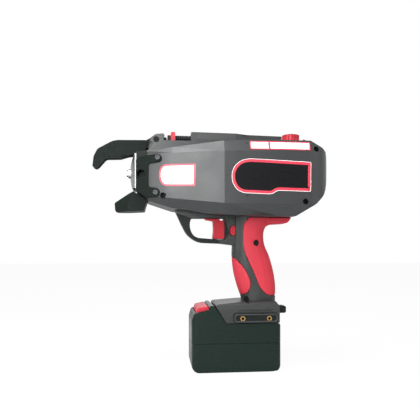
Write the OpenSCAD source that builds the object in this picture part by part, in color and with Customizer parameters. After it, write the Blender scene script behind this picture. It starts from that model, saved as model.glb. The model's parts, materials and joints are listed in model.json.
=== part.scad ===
// Rebar tying tool: a pistol-grip battery tool with a twisting hook at its nose.
// X runs to the rear, Y to the tool's right side, Z up from the pack's bottom face.

/* [Battery pack] */
// Length of the pack along the tool
pack_l = 108; // [102:1:116]
// Width of the pack and of the foot above it
pack_w = 66; // [63:1:72]
// Height of the pack up to the base of the foot
pack_h = 58; // [54:1:66]
// Height of the seam between the two pack cases
pack_seam = 34; // [28:1:38]
// Diameter of one battery cell
cell_d = 18.2; // [16:0.1:18.4]
// Length of one battery cell
cell_l = 65; // [60:1:68]
// Travel of the pack's latch button
pack_latch_travel = 3; // [2:0.5:3.5]

/* [Handle] */
// Height of the body's underside above the base of the foot
grip_h = 128; // [124:1:136]
// Width of the grip at its middle
grip_w = 32; // [31:0.5:35]
// Thickness of the soft grip pads
pad_t = 1.6; // [1.2:0.1:2]
// Thickness of the grip's wall under the pads
grip_wall = 2.6; // [2.2:0.1:3]
// Width of the trigger guard
guard_w = 17; // [16:0.5:19]
// Width of the trigger
trigger_w = 13; // [11:0.5:13]
// Travel of the trigger
trigger_travel = 5; // [3:0.5:5]
// Travel of the trigger lock through the grip
lock_travel = 3; // [2:0.5:4]

/* [Body] */
// Width of the body over both housing halves
body_w = 84; // [82:1:92]
// Height of the body
body_h = 91; // [90:1:96]
// Length of the body from the nose joint to the rear
body_l = 220; // [216:1:228]
// Width of the body at the nose joint
nose_w = 54; // [52:1:58]
// Wall thickness of the housing
wall = 2.8; // [2.2:0.1:3.2]
// Width of the ridge along the top
ridge_w = 36; // [35:0.5:40]
// Diameter of the housing screws' heads
screw_head_d = 6; // [5:0.5:6.5]
// Diameter of the dial
dial_d = 22; // [19:0.5:24]
// Height of the dial's rim
dial_h = 9; // [7:0.5:10]

/* [Jaws] */
// Width of the upper guide's hooked arm
guide_w = 18; // [15:0.5:20]
// Width of the upper guide's tongue between the ears
tongue_w = 14; // [12:0.5:16]
// Diameter of the upper guide's hinge pin
guide_pin_d = 6.4; // [5:0.1:7]
// Width of the lower guide
lower_guide_w = 30; // [26:0.5:34]
// Travel of the latch behind the upper guide
latch_travel = 6; // [4:0.5:7]
// Diameter of the latch spring's wire
spring_wire_d = 1.4; // [1:0.1:1.6]
// Number of curls of the latch spring
spring_curls = 5; // [4:1:6]

/* [Mechanism] */
// Diameter of the twisting shaft in its bush
shaft_d = 12; // [10:0.5:13]
// Diameter of the twist motor
motor_d = 34; // [30:0.5:34]
// Module of the feed gears
feed_module = 1; // [0.95:0.01:1.02]
// Module of the planetary gears
planet_module = 0.8; // [0.7:0.02:0.82]
// Diameter of the reel's flanges
reel_d = 64; // [58:0.5:65]
// Diameter of the wound wire
reel_wire_d = 54; // [44:0.5:56]
// Diameter of the spindle that carries the reel
spindle_d = 20; // [16:0.5:24]
// Diameter of the tie wire
wire_d = 1; // [0.8:0.1:1.2]

/* [Mounts] */
// Spacing of the two threaded inserts of each hook plate
hook_spacing = 32; // [28:0.5:34]
// Bore of a threaded insert
insert_bore = 3.3; // [2.5:0.1:4.2]
// Bore of the strap lug
lug_bore = 4.4; // [3:0.2:5]

/* [Hidden] */
$fn = 48;

// Clearances: a running fit, a sliding fit and an air gap, all on one side
run_gap = 0.05;
slide_gap = 0.4;
air_gap = 0.6;
arc_steps = 5;
far = 400;

charcoal = [0.27, 0.28, 0.30];
dark = [0.12, 0.12, 0.13];
black = [0.07, 0.07, 0.07];
crimson = [0.78, 0.12, 0.18];
steel = [0.72, 0.73, 0.74];
brass = [0.72, 0.56, 0.26];
copper = [0.70, 0.40, 0.24];
green = [0.12, 0.36, 0.20];

// Places along the body
nose_x = -106;
rear_x = nose_x + body_l;
crease_x = -16;
ridge_top = body_h + 11;
slot_floor = body_h + 0.5;

// Outline helpers
function unit(v) = v / norm(v);
function corner(p, q, n, r, steps) = r <= 0 ? [q] :
    let (
        a = unit(p - q),
        b = unit(n - q),
        half = acos(a * b) / 2,
        m = q + unit(a + b) * r / sin(half),
        s = q + a * r / tan(half) - m,
        e = q + b * r / tan(half) - m,
        turn = (cross(s, e) > 0 ? 1 : -1) * (180 - 2 * half),
        start = atan2(s[1], s[0])
    )
    [for (k = [0 : steps]) m + r * [cos(start + turn * k / steps), sin(start + turn * k / steps)]];
// Each corner is [x, y, radius]
function rounded(c, steps = arc_steps) = [
    for (i = [0 : len(c) - 1])
        let (p = c[(i + len(c) - 1) % len(c)], q = c[i], n = c[(i + 1) % len(c)])
        each corner([p[0], p[1]], [q[0], q[1]], [n[0], n[1]], q[2], steps)
];
function powered(v, p) = sign(v) * pow(abs(v), p);

// Solid helpers
module box(x, y, z) {
    translate([x[0], y[0], z[0]]) cube([x[1] - x[0], y[1] - y[0], z[1] - z[0]]);
}
module side_prism(points, y0, y1) {
    translate([0, y1, 0]) rotate([90, 0, 0]) linear_extrude(y1 - y0) polygon(points);
}
module front_prism(points, x0, x1) {
    translate([x0, 0, 0]) rotate([90, 0, 90]) linear_extrude(x1 - x0) polygon(points);
}
module y_rod(x, z, d, y0, y1) {
    translate([x, y1, z]) rotate([90, 0, 0]) cylinder(h = y1 - y0, d = d);
}
module x_rod(x0, x1, y, z, d) {
    translate([x0, y, z]) rotate([0, 90, 0]) cylinder(h = x1 - x0, d = d);
}
module z_rod(x, y, d, z0, z1) {
    translate([x, y, z0]) cylinder(h = z1 - z0, d = d);
}
module mirrored_y() {
    children();
    mirror([0, 1, 0]) children();
}
// Closed skin through rings of equally many points
module loft(rings) {
    n = len(rings[0]);
    m = len(rings);
    sides = [
        for (j = [0 : m - 2]) for (i = [0 : n - 1])
            let (a = j * n + i, b = j * n + (i + 1) % n)
            each [[a, b + n, b], [a, a + n, b + n]]
    ];
    first = [for (i = [0 : n - 1]) i];
    last = [for (i = [0 : n - 1]) m * n - 1 - i];
    polyhedron(points = [for (r = rings) each r], faces = concat(sides, [first, last]));
}
module in_tool() { translate([0, 0, pack_h]) children(); }
module in_body() { translate([0, 0, pack_h + grip_h]) children(); }
module left_half() {
    intersection() {
        children();
        box([-far, far], [-far, 0], [-far, 2 * far]);
    }
}
module right_half() {
    intersection() {
        children();
        box([-far, far], [0, far], [-far, 2 * far]);
    }
}

// Body form: chamfered sections [x, half width, bottom, top, lower and upper chamfer heights]
chamfer_y = 6;
nose_run = 29;
nose_flare = 5;
body_stations = [
    [nose_x, nose_w / 2, 18, body_h - 14, 6, 5],
    [nose_x + nose_run, nose_w / 2 + nose_flare, 9, body_h - 9.5, 11, 8],
    [crease_x, body_w / 2 - 2, 1.5, body_h - 2, 13, 13],
    [crease_x + 66, body_w / 2, 0, body_h, 14, 15],
    [rear_x - 25, body_w / 2, 0, body_h, 14, 15],
    [rear_x + 2, body_w / 2, 0, body_h - 16, 14, 15]
];
function half_width(x) = lookup(x, [for (s = body_stations) [s[0], s[1]]]);
function body_ring(s, t, x) =
    let (w = s[1] - t, b = s[2] + t, h = s[3] - t, c = chamfer_y)
    [
        [x, -w, b + s[4]], [x, -w + c, b], [x, w - c, b], [x, w, b + s[4]],
        [x, w, h - s[5]], [x, w - c, h], [x, -w + c, h], [x, -w, h - s[5]]
    ];
function rear_outline(t) = rounded([
    [nose_x - 20, t - 1, 0], [rear_x - 44.6 - t / 2, t - 1, 0], [rear_x - 19 - t / 2, 14.6 + t, 30],
    [rear_x - 6 - t, 27.5 + t / 2, 30], [rear_x + 1 - t, 50, 60], [rear_x - 1.4 - t, body_h - 20, 24],
    [rear_x - 6 - t, body_h - 6.5 - t, 10], [rear_x - 18 - t, body_h + 1.8 - t, 0],
    [rear_x - 22 - t, body_h + 2.5 - t, 0], [nose_x - 20, body_h + 2.5 - t, 0]
]);
function rear_plan(t) = rounded([
    [nose_x - 20, -body_w / 2 - 1, 0], [rear_x + 1 - t, -body_w / 2 + t, 30 - t],
    [rear_x + 1 - t, body_w / 2 - t, 30 - t], [nose_x - 20, body_w / 2 + 1, 0]
], 2 * arc_steps);
// The body's outside, or with a thickness t its cavity, which runs out at the nose
module body_form(t) {
    intersection() {
        loft([for (i = [0 : len(body_stations) - 1])
            let (s = body_stations[i]) body_ring(s, t, i == 0 && t > 0 ? s[0] - 1 : s[0])]);
        side_prism(rear_outline(t), -body_w, body_w);
        linear_extrude(2 * body_h) polygon(rear_plan(t));
    }
}

// Ridge along the top: hinge ears in front, an open slot, the window block and a rear slope
ear_back_x = nose_x + 20.5;
pin_x = nose_x + 10.5;
pin_z = body_h + 1.2;
tail_r = 13;
latch_l = 9.6;
pressed_spring_l = 12.5;
latch_front = pin_x + tail_r + slide_gap;
latch_back = latch_front + latch_l;
block_x = latch_back + latch_travel + pressed_spring_l;
spring_wall_h = 12;
spring_wall_y = 8.6;
ridge_outline = rounded([
    [nose_x + 0.5, body_h - 18, 0], [nose_x + 2.5, body_h + 0.5, 3], [nose_x + 9, body_h + 7.6, 4],
    [ear_back_x, body_h + 8.8, 2], [ear_back_x - 1, slot_floor, 1], [block_x, slot_floor, 1],
    [block_x, ridge_top, 1.5], [2, ridge_top - 0.6, 0], [14, body_h + 9, 0],
    [rear_x - 33, body_h + 7.8, 5], [rear_x - 21, body_h + 2.6, 5], [rear_x - 9, body_h - 6, 4],
    [rear_x - 8, body_h - 20, 0]
]);
ridge_hollow_x = pin_x + tail_r + 1.9;
ridge_hollow_outline = [
    [ridge_hollow_x, body_h - 22], [ridge_hollow_x, slot_floor - wall],
    [block_x + wall, slot_floor - wall], [block_x + wall, ridge_top - wall], [0, ridge_top - wall - 0.6],
    [14, body_h + 9 - wall], [rear_x - 35, body_h + 7.8 - wall], [rear_x - 24, body_h + 2.6 - wall],
    [rear_x - 24, body_h - 22]
];

// Handle form: rounded sections [height as a share of the grip, front, rear, half width]
grip_stations = [
    [0.14, 10.5, 53, grip_w / 2 + 1.5], [0.22, 10, 53.2, grip_w / 2 + 1.2],
    [0.34, 4.6, 53.6, grip_w / 2 + 0.6], [0.485, -0.1, 50.8, grip_w / 2],
    [0.63, -1.9, 45.5, grip_w / 2 - 0.2], [0.735, -1.5, 39.6, grip_w / 2 - 0.6],
    [0.85, -1.2, 38.4, grip_w / 2 - 0.6], [0.93, -1.2, 43, grip_w / 2], [1.05, -2, 57, grip_w / 2 + 1]
];
ring_points = 20;
roundness = 0.8;
rows_between = 3;
// The section a share u of the way from b to c, on a smooth curve through a, b, c and d
function between(a, b, c, d, u) =
    b + u / 2 * (c - a + u * (2 * a - 5 * b + 4 * c - d + u * (3 * b - a - 3 * c + d)));
grip_last = len(grip_stations) - 1;
grip_rows = [
    for (i = [0 : grip_last - 1]) for (k = [0 : rows_between - 1])
        between(grip_stations[max(i - 1, 0)], grip_stations[i], grip_stations[i + 1],
            grip_stations[min(i + 2, grip_last)], k / rows_between),
    grip_stations[grip_last]
];
module grip_form(t) {
    loft([
        for (s = grip_rows) [
            for (k = [0 : ring_points - 1])
                let (a = 360 * k / ring_points)
                [
                    (s[1] + s[2]) / 2 + ((s[2] - s[1]) / 2 - t) * powered(cos(a), roundness),
                    (s[3] - t) * powered(sin(a), roundness),
                    s[0] * grip_h
                ]
        ]
    ]);
}

// Trigger guard and the block behind the trigger, as side outlines above the foot's base
block_front_x = -12;
guard_outline = rounded([
    [-75, grip_h + 11, 0], [-71, grip_h + 4, 0], [-65.5, grip_h - 8, 20], [-59, grip_h - 21, 28],
    [-46, grip_h - 31.5, 26], [-17, grip_h - 32.6, 8], [6, grip_h - 35.5, 0], [6, grip_h + 11, 0]
]);
opening_top = grip_h - 1.3;
guard_opening = rounded([
    [-53, opening_top, 3.2], [-56.5, grip_h - 12, 20], [-49, grip_h - 25.3, 12], [-20, grip_h - 27.4, 1],
    [block_front_x, grip_h - 27.4, 0], [block_front_x, opening_top, 0]
]);

// Foot over the pack, with a channel for the pack's rails
foot_rear = pack_l / 2 - 2.2;
foot_front_low = -12.6;
foot_front_top = -26.8;
foot_top = 22.2;
rail_neck_w = 38;
rail_head_w = 44;
rail_neck_h = 4;
rail_h = 8;
foot_outline = rounded([
    [foot_front_top, foot_top, 3], [foot_front_low, 0, 0], [foot_rear, 0, 0], [foot_rear, foot_top - 2, 5],
    [foot_rear - 4, foot_top + 4.2, 5], [10, foot_top + 3, 0]
]);
module foot_form() {
    intersection() {
        side_prism(foot_outline, -pack_w / 2, pack_w / 2);
        front_prism(rounded([
            [-pack_w / 2, 0, 0], [pack_w / 2, 0, 0],
            [pack_w / 2, foot_top + 5, 13], [-pack_w / 2, foot_top + 5, 13]
        ]), -far, far);
    }
}
foot_room_z = rail_h + 3;
foot_room_top = foot_top - 3;
foot_room_w = pack_w - 12;
module foot_hollow() {
    box([-6, foot_rear - 3], [-foot_room_w / 2, foot_room_w / 2], [foot_room_z, foot_room_top]);
    box([-far, foot_rear - 5], [-rail_neck_w / 2 - slide_gap, rail_neck_w / 2 + slide_gap], [-1, rail_h]);
    box([-far, foot_rear - 5], [-rail_head_w / 2 - slide_gap, rail_head_w / 2 + slide_gap],
        [rail_neck_h - slide_gap, rail_h + slide_gap]);
}

// Screws that clamp the halves: [x, height above the foot's base, seat of the head from the mid plane]
screw_d = 3;
screw_head_h = 2.6;
screw_reach = 8;
screw_boss_d = screw_head_d + 3.4;
screw_places = [
    [nose_x + 18.3, grip_h + 23.3, nose_w / 2 - 6],
    [rear_x - 19, grip_h + body_h - 11, body_w / 2 - 13],
    [rear_x - 33, grip_h + 16.8, body_w / 2 - 10],
    [27, 0.753 * grip_h, grip_w / 2 - 6.4],
    [14.2, 0.21 * grip_h, grip_w / 2 - 6.4]
];
module screw_bosses() {
    for (s = screw_places) y_rod(s[0], s[1], screw_boss_d, -far, far);
}
module screw_holes() {
    for (s = screw_places) {
        y_rod(s[0], s[1], screw_d + 2 * run_gap, -far, screw_reach);
        y_rod(s[0], s[1], screw_head_d + 2 * slide_gap, -far, -s[2]);
    }
}

// Soft pads: the outer skin of the grip inside two side outlines
rear_pad_outline = rounded([
    [17, grip_h - 0.2, 0], [10.5, grip_h - 9, 8], [10, grip_h - 38, 44], [15.5, 0.6 * grip_h, 60],
    [24, 0.46 * grip_h, 60], [31, 0.31 * grip_h, 30], [41, 0.245 * grip_h, 13], [70, 0.235 * grip_h, 0],
    [70, grip_h - 0.2, 0]
]);
front_pad_outline = rounded([
    [-20, 0.64 * grip_h, 0], [-1, 0.62 * grip_h, 12], [11, 0.53 * grip_h, 36], [21, 0.38 * grip_h, 17],
    [18, 0.275 * grip_h, 11], [8, 0.24 * grip_h, 3], [-20, 0.24 * grip_h, 0]
]);
saddle_w = 26;
saddle_outline = rounded([
    [42, grip_h - 10.5, 0], [46, grip_h - 8.2, 4], [67, grip_h - 7, 6], [72, grip_h - 0.2, 0],
    [42, grip_h - 0.2, 0]
]);
module in_body_above_foot() { translate([0, 0, grip_h]) children(); }
// The grip's skin inside a side outline, with room outside it for a clean cut
module pad_skin(outline, proud) {
    intersection() {
        difference() {
            grip_form(-proud);
            grip_form(pad_t);
        }
        side_prism(outline, -far, far);
    }
}
module rear_grip() {
    color(crimson) in_tool() difference() {
        union() {
            pad_skin(rear_pad_outline, 0);
            difference() {
                side_prism(saddle_outline, -saddle_w / 2, saddle_w / 2);
                grip_form(pad_t);
            }
        }
        screw_holes();
    }
}
module front_grip() {
    color(crimson) in_tool() difference() {
        pad_skin(front_pad_outline, 0);
        screw_holes();
    }
}

// Reel bay in the right half, closed by a round cover
reel_x = rear_x - 54;
reel_z = 48;
reel_gap = 1.8;
bay_d = reel_d + 2 * reel_gap;
collar_d = bay_d + 7;
cover_y = body_w / 2 + 0.4;
cover_t = 3.2;
cover_pin_x = reel_x - collar_d / 2 - 3;
cover_pin_d = 2;
knuckle_d = 4.6;
cover_pin_y = body_w / 2 + knuckle_d / 2 + slide_gap;
knuckle_low = reel_z - 12;
knuckle_h = 6;
cover_latch_x = reel_x + collar_d / 2 + slide_gap;

// Trigger, its pocket and the lock through the block behind it
trigger_low = grip_h - 26.8;
trigger_high = grip_h - 3.8;
trigger_front = -25.6;
trigger_stem = block_front_x + 1.8;
trigger_arm_z = trigger_high - 5.8;
lip_l = 10;
lip_top = opening_top - air_gap;
lip_back = block_front_x - trigger_travel - air_gap;
switch_x = 8;
lock_x = -1.6;
lock_z = grip_h - 16.5;
lock_w = 6;
lock_h = 12;
lock_rest = 0.6;

// Dial on the ridge's rear
dial_x = rear_x - 40;
dial_seat = body_h + 4.2;
dial_stem_d = 6;
dial_notch = dial_d / 2 + 1;
dial_notch_front = dial_notch + 4.2;
pot_top = dial_seat - wall;
pot_h = 10;

// Places of the side panels in the window block
panel_t = 1.2;
panel_x = [block_x + 7.3, 1];
panel_z = [ridge_top - 9, ridge_top - 0.8];

// Line of the tie wire and axis of the twisting shaft above the body's underside
twist_z = 53;
wire_z = twist_z + 18.5;

module housing_outer() {
    in_body_above_foot() {
        body_form(0);
        side_prism(ridge_outline, -ridge_w / 2, ridge_w / 2);
        box([latch_back, block_x + 1], [spring_wall_y, spring_wall_y + wall],
            [slot_floor - 1, slot_floor + spring_wall_h]);
        y_rod(reel_x, reel_z, collar_d, body_w / 4, body_w / 2);
        box([cover_latch_x - 1, cover_latch_x + 11], [body_w / 4, body_w / 2], [reel_z - 7, reel_z + 7]);
        for (z = [knuckle_low, knuckle_low + 3 * knuckle_h])
            cover_knuckle(z, z + knuckle_h, body_w / 2 - 2);
    }
    grip_form(0);
    difference() {
        side_prism(guard_outline, -guard_w / 2, guard_w / 2);
        side_prism(guard_opening, -far, far);
    }
    foot_form();
}
// A hinge knuckle with a web that reaches back to y
module cover_knuckle(z0, z1, y) {
    z_rod(cover_pin_x, cover_pin_y, knuckle_d, z0, z1);
    box([cover_pin_x - knuckle_d / 2, cover_pin_x + knuckle_d / 2], [y, cover_pin_y], [z0, z1]);
}
module housing_inner() {
    in_body_above_foot() {
        difference() {
            union() {
                body_form(wall);
                difference() {
                    side_prism(ridge_hollow_outline, wall - ridge_w / 2, ridge_w / 2 - wall);
                    dial_room(wall);
                }
            }
            difference() {
                y_rod(reel_x, reel_z, collar_d, body_w / 4, body_w / 2);
                y_rod(reel_x, reel_z, bay_d, 0, body_w);
            }
        }
        y_rod(reel_x, reel_z, bay_d, body_w / 4, body_w);
    }
    grip_form(pad_t + grip_wall);
    foot_hollow();
    box([block_front_x - 0.1, 6], [-trigger_w / 2 - slide_gap, trigger_w / 2 + slide_gap],
        [trigger_low - slide_gap, trigger_high + slide_gap]);
}
module housing_cuts() {
    screw_holes();
    pad_skin(rear_pad_outline, 1);
    pad_skin(front_pad_outline, 1);
    side_prism(saddle_outline, -saddle_w / 2, saddle_w / 2);
    lock_form(slide_gap, -far, far);
    in_body_above_foot() {
        z_rod(cover_pin_x, cover_pin_y, cover_pin_d + 2 * run_gap, 0, body_h);
        tongue_room();
        y_rod(pin_x, pin_z, guide_pin_d + 2 * run_gap, -ridge_w, ridge_w);
        z_rod(dial_x, 0, dial_stem_d + 2 * run_gap, body_h - 20, 2 * body_h);
        dial_room(0);
        x_rod(block_x - 1, block_x + wall + 1, 0, rod_z, rod_d);
        mirrored_y() {
            box(panel_x, [-ridge_w, panel_t - ridge_w / 2], panel_z);
            box([panel_x[1] + 6, panel_x[1] + 16], [-ridge_w, panel_t - ridge_w / 2],
                [ridge_top - 7, ridge_top - 2.6]);
        }
    }
    nose_screw_places() y_rod(0, 0, nose_screw_d + 2 * run_gap, -1, 12);
    mirrored_y() {
        insert_places() y_rod(0, 0, insert_d, -far, insert_end);
        box([hook_x - 20, hook_x + 20], [-pack_w, 1.2 - pack_w / 2], [hook_plate_h + 1.8, hook_plate_h + 3.4]);
    }
}
module housing() {
    difference() {
        union() {
            difference() {
                housing_outer();
                housing_inner();
            }
            intersection() {
                housing_outer();
                union() {
                    screw_bosses();
                    in_body_above_foot() board_posts();
                }
            }
        }
        housing_cuts();
    }
}
module left_housing() { color(charcoal) in_tool() left_half() housing(); }
module right_housing() { color(charcoal) in_tool() right_half() housing(); }
module housing_screws() {
    color(dark) in_tool() for (s = screw_places) {
        difference() {
            y_rod(s[0], s[1], screw_head_d, -s[2] - screw_head_h, -s[2]);
            translate([s[0], -s[2] - screw_head_h + 1.4, s[1]]) rotate([90, 0, 0]) cylinder(h = 3, d = 3, $fn = 6);
        }
        y_rod(s[0], s[1], screw_d, -s[2], screw_reach - 1);
    }
}

// Nose: a cast frame, a polished front plate and two side brackets
frame_front = nose_x - 13;
frame_top = body_h - 14;
spigot_l = 8;
nose_taper = atan(nose_flare / nose_run);
bracket_t = 3.2;
nose_screw_d = 3;
bush_d = shaft_d + 4;
wire_hole_d = 3;
cutter_d = 4.2;
blade_x = [nose_x - 6, nose_x - 2.4];
blade_room = 20;
bracket_outline = rounded([
    [-13, 28, 3], [2, 20.5, 4], [14.8, 22.2, 4.3], [14.8, 31.4, 4.3], [1.5, 33.5, 3], [1.5, 61, 2.5],
    [17.2, 63.2, 4.3], [17.2, 72.2, 4.3], [0, 70.4, 4], [-13, 67, 4]
]);
bracket_screws = [[12.8, 67.6], [10.3, 26.8]];
bracket_hole = [-7.2, 48.9];
bracket_hole_d = 9.6;
module on_left_side() {
    translate([nose_x, -nose_w / 2, 0]) rotate([0, 0, -nose_taper]) children();
}
module nose_screw_places() {
    in_body_above_foot() mirrored_y() on_left_side()
        for (s = bracket_screws) translate([s[0], -bracket_t, s[1]]) children();
}
module nose_brackets() {
    color(black) in_body() mirrored_y() on_left_side() difference() {
        side_prism(bracket_outline, -bracket_t, 0);
        y_rod(bracket_hole[0], bracket_hole[1], bracket_hole_d, -far, far);
        for (s = bracket_screws) y_rod(s[0], s[1], nose_screw_d + 2 * run_gap, -far, far);
    }
}
module nose_screws() {
    color(steel) in_tool() nose_screw_places() {
        difference() {
            y_rod(0, 0, 5.6, -1.8, 0);
            translate([0, -0.8, 0]) rotate([90, 0, 0]) cylinder(h = 3, d = 2.8, $fn = 6);
        }
        y_rod(0, 0, nose_screw_d, 0, bracket_t + wall);
    }
}
module nose_frame() {
    color(dark) in_body() difference() {
        union() {
            intersection() {
                side_prism([[frame_front, 28.8], [nose_x, 20], [nose_x, frame_top], [frame_front, frame_top - 1.2]],
                    -nose_w, nose_w);
                linear_extrude(body_h) polygon([
                    [frame_front, -nose_w / 2 + 13 * tan(nose_taper)], [nose_x, -nose_w / 2],
                    [nose_x, nose_w / 2], [frame_front, nose_w / 2 - 13 * tan(nose_taper)]
                ]);
            }
            box([nose_x - 1, nose_x + spigot_l], [-20, 20], [30, frame_top - 4]);
        }
        x_rod(frame_front - 1, nose_x + spigot_l + 1, 0, twist_z, bush_d);
        x_rod(frame_front - 1, nose_x, 0, wire_z, wire_hole_d);
        x_rod(blade_x[1], nose_x + spigot_l + 1, 0, wire_z, cutter_d);
        box(blade_x, [-blade_room / 2, blade_room / 2], [wire_z - 6, frame_top + 1]);
        mirrored_y() on_left_side() y_rod(bracket_hole[0], bracket_hole[1], bracket_hole_d, -1, 7);
    }
}
plate_front = frame_front - 8;
plate_bow_r = 46;
module nose_plate() {
    color(steel) in_body() difference() {
        intersection() {
            side_prism(rounded([
                [frame_front, 33, 0], [frame_front, frame_top - 3, 0], [frame_front - 3, frame_top - 3, 2],
                [plate_front, frame_top - 17, 14], [plate_front, 45, 10], [plate_front + 2.4, 33, 2]
            ]), -nose_w, nose_w);
            z_rod(plate_front + plate_bow_r, 0, 2 * plate_bow_r, 0, body_h);
            box([plate_front - 1, frame_front], [-nose_w / 2 + 4, nose_w / 2 - 4], [0, body_h]);
        }
        x_rod(plate_front - 1, frame_front + 1, 0, twist_z, shaft_d + 2 * slide_gap);
        x_rod(plate_front - 1, frame_front + 1, 0, wire_z, wire_hole_d);
    }
}

// Lower guide: a prow-shaped channel bolted under the nose frame
prow_x = -146;
module lower_guide() {
    color(black) in_body() difference() {
        intersection() {
            side_prism(rounded([
                [prow_x, 16.5, 1.5], [prow_x + 0.8, 5.2, 3], [nose_x - 4, 6.8, 2], [nose_x - 2.5, 13, 2],
                [nose_x - 0.2, 19.2, 0.6], [nose_x - 17, 30, 1.5]
            ]), -lower_guide_w / 2, lower_guide_w / 2);
            linear_extrude(body_h) polygon([
                [prow_x, -lower_guide_w / 6], [prow_x + 16.7, -lower_guide_w / 2], [far, -lower_guide_w / 2],
                [far, lower_guide_w / 2], [prow_x + 16.7, lower_guide_w / 2], [prow_x, lower_guide_w / 6]
            ]);
        }
        translate([0, 0, 10]) linear_extrude(body_h) polygon([
            [prow_x + 2, -lower_guide_w / 6 + 2.4], [prow_x + 16.7, -lower_guide_w / 2 + 3],
            [nose_x - 15, -lower_guide_w / 2 + 3], [nose_x - 15, lower_guide_w / 2 - 3],
            [prow_x + 16.7, lower_guide_w / 2 - 3], [prow_x + 2, lower_guide_w / 6 - 2.4]
        ]);
    }
}

// Upper guide: a hooked arm with a wire groove, a tongue between the ears and a round tail
arm_end = nose_x - 1.5;
arm_outline = rounded([
    [-172, pin_z - 32.1, 1], [-168.5, pin_z - 33.6, 2], [-165.3, pin_z - 31.5, 2],
    [-156.5, pin_z - 21.3, 6], [-139.4, pin_z - 20.6, 8], [-123.9, pin_z - 16.6, 8],
    [arm_end, pin_z - 10.7, 1], [arm_end, pin_z + 0.8, 2], [-147, pin_z, 22],
    [-166, pin_z - 10.7, 8], [-170.5, pin_z - 19.2, 8]
]);
groove_w = 5;
groove_depth = 3;
module tongue_room() {
    w = tongue_w / 2 + slide_gap;
    y_rod(pin_x, pin_z, 2 * (tail_r + air_gap), -w, w);
    box([nose_x - 20, pin_x], [-w, w], [pin_z - tail_r + air_gap, 2 * body_h]);
}
module upper_guide() {
    color(black) in_body() difference() {
        union() {
            side_prism(arm_outline, -guide_w / 2, guide_w / 2);
            side_prism([[arm_end - 3, pin_z - 9.2], [pin_x, pin_z - 8], [pin_x, pin_z + 8], [arm_end - 3, pin_z]],
                -tongue_w / 2, tongue_w / 2);
            y_rod(pin_x, pin_z, 16, -tongue_w / 2, tongue_w / 2);
            intersection() {
                y_rod(pin_x, pin_z, 2 * tail_r, -tongue_w / 2, tongue_w / 2);
                side_prism([[pin_x, pin_z], [pin_x + 20, pin_z - 4], [pin_x + 20, pin_z + 10]],
                    -tongue_w, tongue_w);
            }
        }
        y_rod(pin_x, pin_z, guide_pin_d + 2 * run_gap, -guide_w, guide_w);
        intersection() {
            difference() {
                side_prism(arm_outline, -groove_w / 2, groove_w / 2);
                translate([-groove_depth / 2, 0, groove_depth])
                    side_prism(arm_outline, -groove_w, groove_w);
            }
            box([-far, arm_end - 2], [-far, far], [0, pin_z - 6]);
        }
    }
}
module guide_pin() {
    color(steel) in_body() y_rod(pin_x, pin_z, guide_pin_d, -ridge_w / 2, ridge_w / 2);
}

// Latch behind the tail, its rod and its spring
rod_d = 4;
rod_z = slot_floor + 5.5;
tab_front = latch_back - 5.4;
module guide_latch() {
    color(crimson) in_body() difference() {
        union() {
            box([latch_front, latch_back], [-6, 6], [slot_floor + slide_gap / 2, slot_floor + 9]);
            side_prism(rounded([
                [tab_front, slot_floor + 1.3, 0], [latch_back, slot_floor + 1.3, 0],
                [latch_back, slot_floor + 12.5, 1], [tab_front, slot_floor + 12.5, 1]
            ]), -tongue_w / 2 - 1, tongue_w / 2 + 1);
        }
        x_rod(latch_front - 1, latch_back + 1, 0, rod_z, rod_d + 2 * run_gap);
    }
}
module latch_rod() {
    color(steel) in_body() x_rod(latch_front + 2, block_x + wall, 0, rod_z, rod_d);
}
spring_r = 3.9;
spring_rings = 8 * spring_curls;
spring_ends = [latch_back + spring_wire_d / 2 + 0.1, block_x - spring_wire_d / 2 - 0.1];
function spring_centre(i) =
    let (a = 360 * i / 8)
    [
        spring_ends[0] + (spring_ends[1] - spring_ends[0]) * i / spring_rings,
        spring_r * cos(a), rod_z + spring_r * sin(a)
    ];
function spring_ring(i) =
    let (
        a = 360 * i / 8,
        pitch = (spring_ends[1] - spring_ends[0]) / spring_curls,
        along = unit([pitch / (2 * PI * spring_r), -sin(a), cos(a)]),
        out = [0, cos(a), sin(a)],
        side = cross(along, out)
    )
    [for (k = [0 : 5]) spring_centre(i) + spring_wire_d / 2 * (cos(60 * k) * out + sin(60 * k) * side)];
spring_gap = min([
    for (i = [0 : spring_rings - 6]) for (j = [i + 6 : spring_rings])
        norm(spring_centre(i) - spring_centre(j)) - spring_wire_d
]);
echo(str("least gap between the latch spring's curls: ", spring_gap, " mm"));
module latch_spring() {
    color(steel) in_body() loft([for (i = [0 : spring_rings]) spring_ring(i)]);
}
module top_panels() {
    color(black) in_body() mirrored_y()
        box(panel_x, [-ridge_w / 2, panel_t - ridge_w / 2], panel_z);
}

// Involute gear outline: teeth, module, tip and root heights in modules, and slack at the pitch line
function involute(a) = tan(a) * 180 / PI - a;
function gear_outline(teeth, m, tip, root, slack) =
    let (
        pitch_r = m * teeth / 2,
        base_r = pitch_r * cos(20),
        root_r = pitch_r - root * m,
        tip_r = pitch_r + tip * m,
        half = 90 / teeth - slack / pitch_r * 90 / PI + involute(20),
        radii = [root_r, max(root_r + 0.01, base_r), (max(root_r, base_r) + tip_r) / 2, tip_r],
        spread = [for (r = radii) half - involute(acos(min(1, base_r / r)))]
    )
    [
        for (t = [0 : teeth - 1]) each concat(
            [for (i = [0 : 3]) radii[i] * [cos(360 * t / teeth - spread[i]), sin(360 * t / teeth - spread[i])]],
            [for (i = [3 : -1 : 0]) radii[i] * [cos(360 * t / teeth + spread[i]), sin(360 * t / teeth + spread[i])]]
        )
    ];
// Angle of a tooth of the second gear that meshes with the first in a direction
function mesh_phase(direction, phase, teeth, next_teeth) =
    direction + 180 - (0.5 - (direction - phase) * teeth / 360) * 360 / next_teeth;
gear_tip = 0.7;
gear_root = 1.25;
gear_slack = 0.3;

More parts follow.
